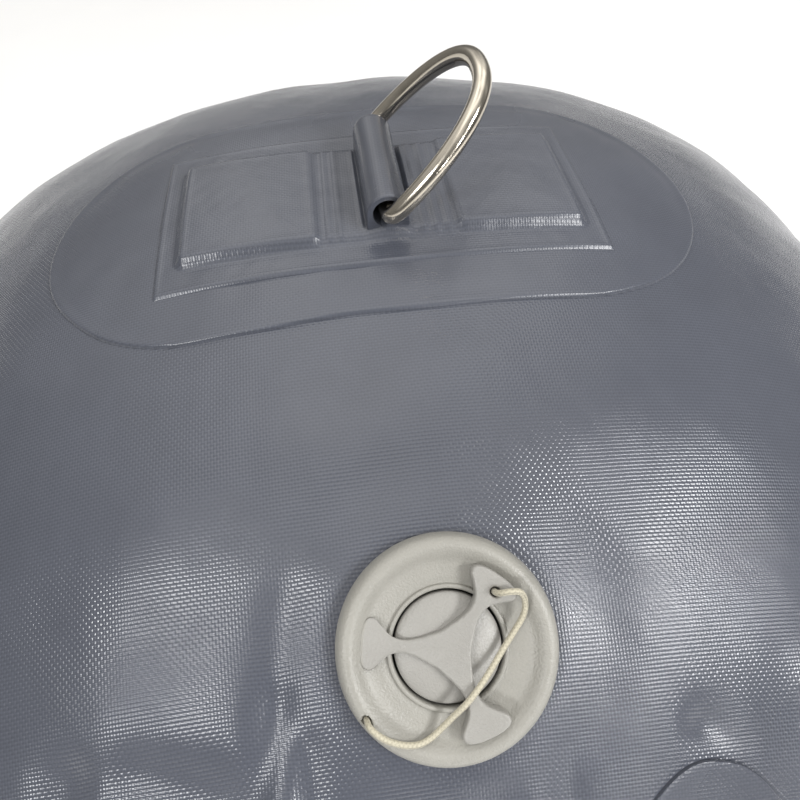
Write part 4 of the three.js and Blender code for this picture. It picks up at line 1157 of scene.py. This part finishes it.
def make_side(word, side):
    """One side's strap patch, two straps and stitches, and the finish of its buckle."""
    patch_x = FIN_SIDE + 2.2
    outline = rounded_rect(-46, -6, SEAM_Z - 17, SEAM_Z + 17, 6)
    v, faces = slab("patch", [outline], -0.6, 0.6, 0.35, 2)
    v = np.column_stack((side * (patch_x + v[:, 2]), v[:, 0], v[:, 1]))
    v[:, 0] += side * 0.25 * wave_noise(v[:, 1], v[:, 2], 26, 61, 2)
    patch = make_mesh(f"strap_weld_{word}", v, faces, v[:, 1:], 40, flip=side < 0)
    settle(patch, "root", tape_fabric, "pvc_fabric", f"strap_patch_{word}")
    near = patch_x + 0.5 + 0.4 + STRAP_THICK / 2
    inner, outer = BUCKLE_X - BAR_HALF, BUCKLE_X + BAR_HALF
    bar = BUCKLE_MOUTH + FEMALE_BAR
    route = [(near, -8), (near, -46), (outer, -100), (outer, bar), (inner, bar), (inner, -128)]
    strap = ribbon_mesh(f"side_webbing_{word}", route, side, 63)
    settle(strap, "root", strap_cloth, "webbing", f"side_strap_{word}")
    tab = COLLAR_HALF + 0.5 + STRAP_THICK / 2
    bar = BUCKLE_MOUTH + MALE_BAR
    route = [(tab, -ROLL_CENTRE - 15), (tab, -ROLL_CENTRE + 8), (inner, -238)]
    route += [(inner, bar), (outer, bar), (outer, -222)]
    roll_strap = ribbon_mesh(f"roll_webbing_{word}", route, side, 67)
    settle(roll_strap, None, strap_cloth, "webbing", f"roll_strap_{word}")
    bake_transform(roll_strap)
    stitch_rows(f"side_stitches_{word}", box_stitch(near + STRAP_THICK / 2, -12, -40, 9), side)
    finish_node(f"buckle_female_{word}", buckle_plastic, 0.7)
    finish_node(f"buckle_male_{word}", buckle_plastic, 0.45)


for word, side in (("left", -1), ("right", 1)):
    make_side(word, side)


# ---- floor, lights, world ----
FLOOR_HALF, FLOOR_Z = 4.0, -0.0005


def make_stage():
    """A plain pale floor."""
    mesh = bpy.data.meshes.new("floor")
    corners = [(x * FLOOR_HALF, y * FLOOR_HALF, FLOOR_Z) for x, y in ((-1, -1), (1, -1), (1, 1), (-1, 1))]
    mesh.from_pydata(corners, [], [(0, 1, 2, 3)])
    floor = bpy.data.objects.new("floor", mesh)
    bpy.context.scene.collection.objects.link(floor)
    n = Nodes("floor")
    pale = n.ramp(n.noise(n.place(), 3.0), (0.3, (0.88, 0.88, 0.88)), (0.7, (0.91, 0.91, 0.91)))
    mesh.materials.append(n.finish(Base_Color=pale, Roughness=0.9, Specular_IOR_Level=0.1))


LIGHTS_AIM = Vector((0.0, -0.11, 0.25))
LIGHTS = [  # name, azimuth from +Y towards +X, elevation, distance, size, power
    ("window_left", -134, 36, 1.6, (0.46, 0.24), 10),
    ("window_right", 124, 38, 1.6, (0.58, 0.30), 18),
    ("window_near_right", 148, 26, 1.6, (0.24, 0.24), 4),
    ("window_behind", 165, 12, 1.8, (0.24, 0.16), 2),
]


def area_light(name, azimuth, elevation, distance, size, power):
    """A soft rectangular light, aimed at the front of the bag."""
    a, e = math.radians(azimuth), math.radians(elevation)
    out = Vector((math.sin(a) * math.cos(e), math.cos(a) * math.cos(e), math.sin(e)))
    data = bpy.data.lights.new(name, "AREA")
    data.shape = "RECTANGLE"
    data.size, data.size_y = size
    data.energy = power
    light = bpy.data.objects.new(name, data)
    light.location = LIGHTS_AIM + out * distance
    light.rotation_mode = "QUATERNION"
    light.rotation_quaternion = (-out).to_track_quat("-Z", "Y")
    bpy.context.scene.collection.objects.link(light)


ROOM_BRIGHT_WAY, ROOM_TOP = (0.0, 0.25, 0.9), 1.6
ROOM = [(0.50, 0.16), (0.92, 0.30), (1.14, 0.85), (1.25, 1.1), (1.40, 2.3)]  # place, brightness
WARM = (1, 0.985, 0.96)


def make_world():
    """White to the camera; to the surfaces, a room with pale and darker parts."""
    n = Nodes("studio", world=True)
    place = n.place("Generated")
    way = n.add("ShaderNodeVectorMath", operation="DOT_PRODUCT")
    n.feed(way.inputs[0], place)
    n.feed(way.inputs[1], ROOM_BRIGHT_WAY)
    uneven = n.plus(n.times(n.noise(place, 2.1, 1.5, 0.5), 0.9), way.outputs["Value"])
    stops = ((at / ROOM_TOP, tuple(bright * c for c in WARM)) for at, bright in ROOM)
    room = n.ramp(n.math("DIVIDE", uneven, ROOM_TOP), *stops)
    camera_ray = n.add("ShaderNodeLightPath").outputs["Is Camera Ray"]
    bpy.context.scene.world = n.finish(Color=n.mix(camera_ray, room, (1, 1, 1, 1)))


make_stage()
for light in LIGHTS:
    area_light(*light)
make_world()
bpy.context.scene.view_settings.view_transform = "Standard"
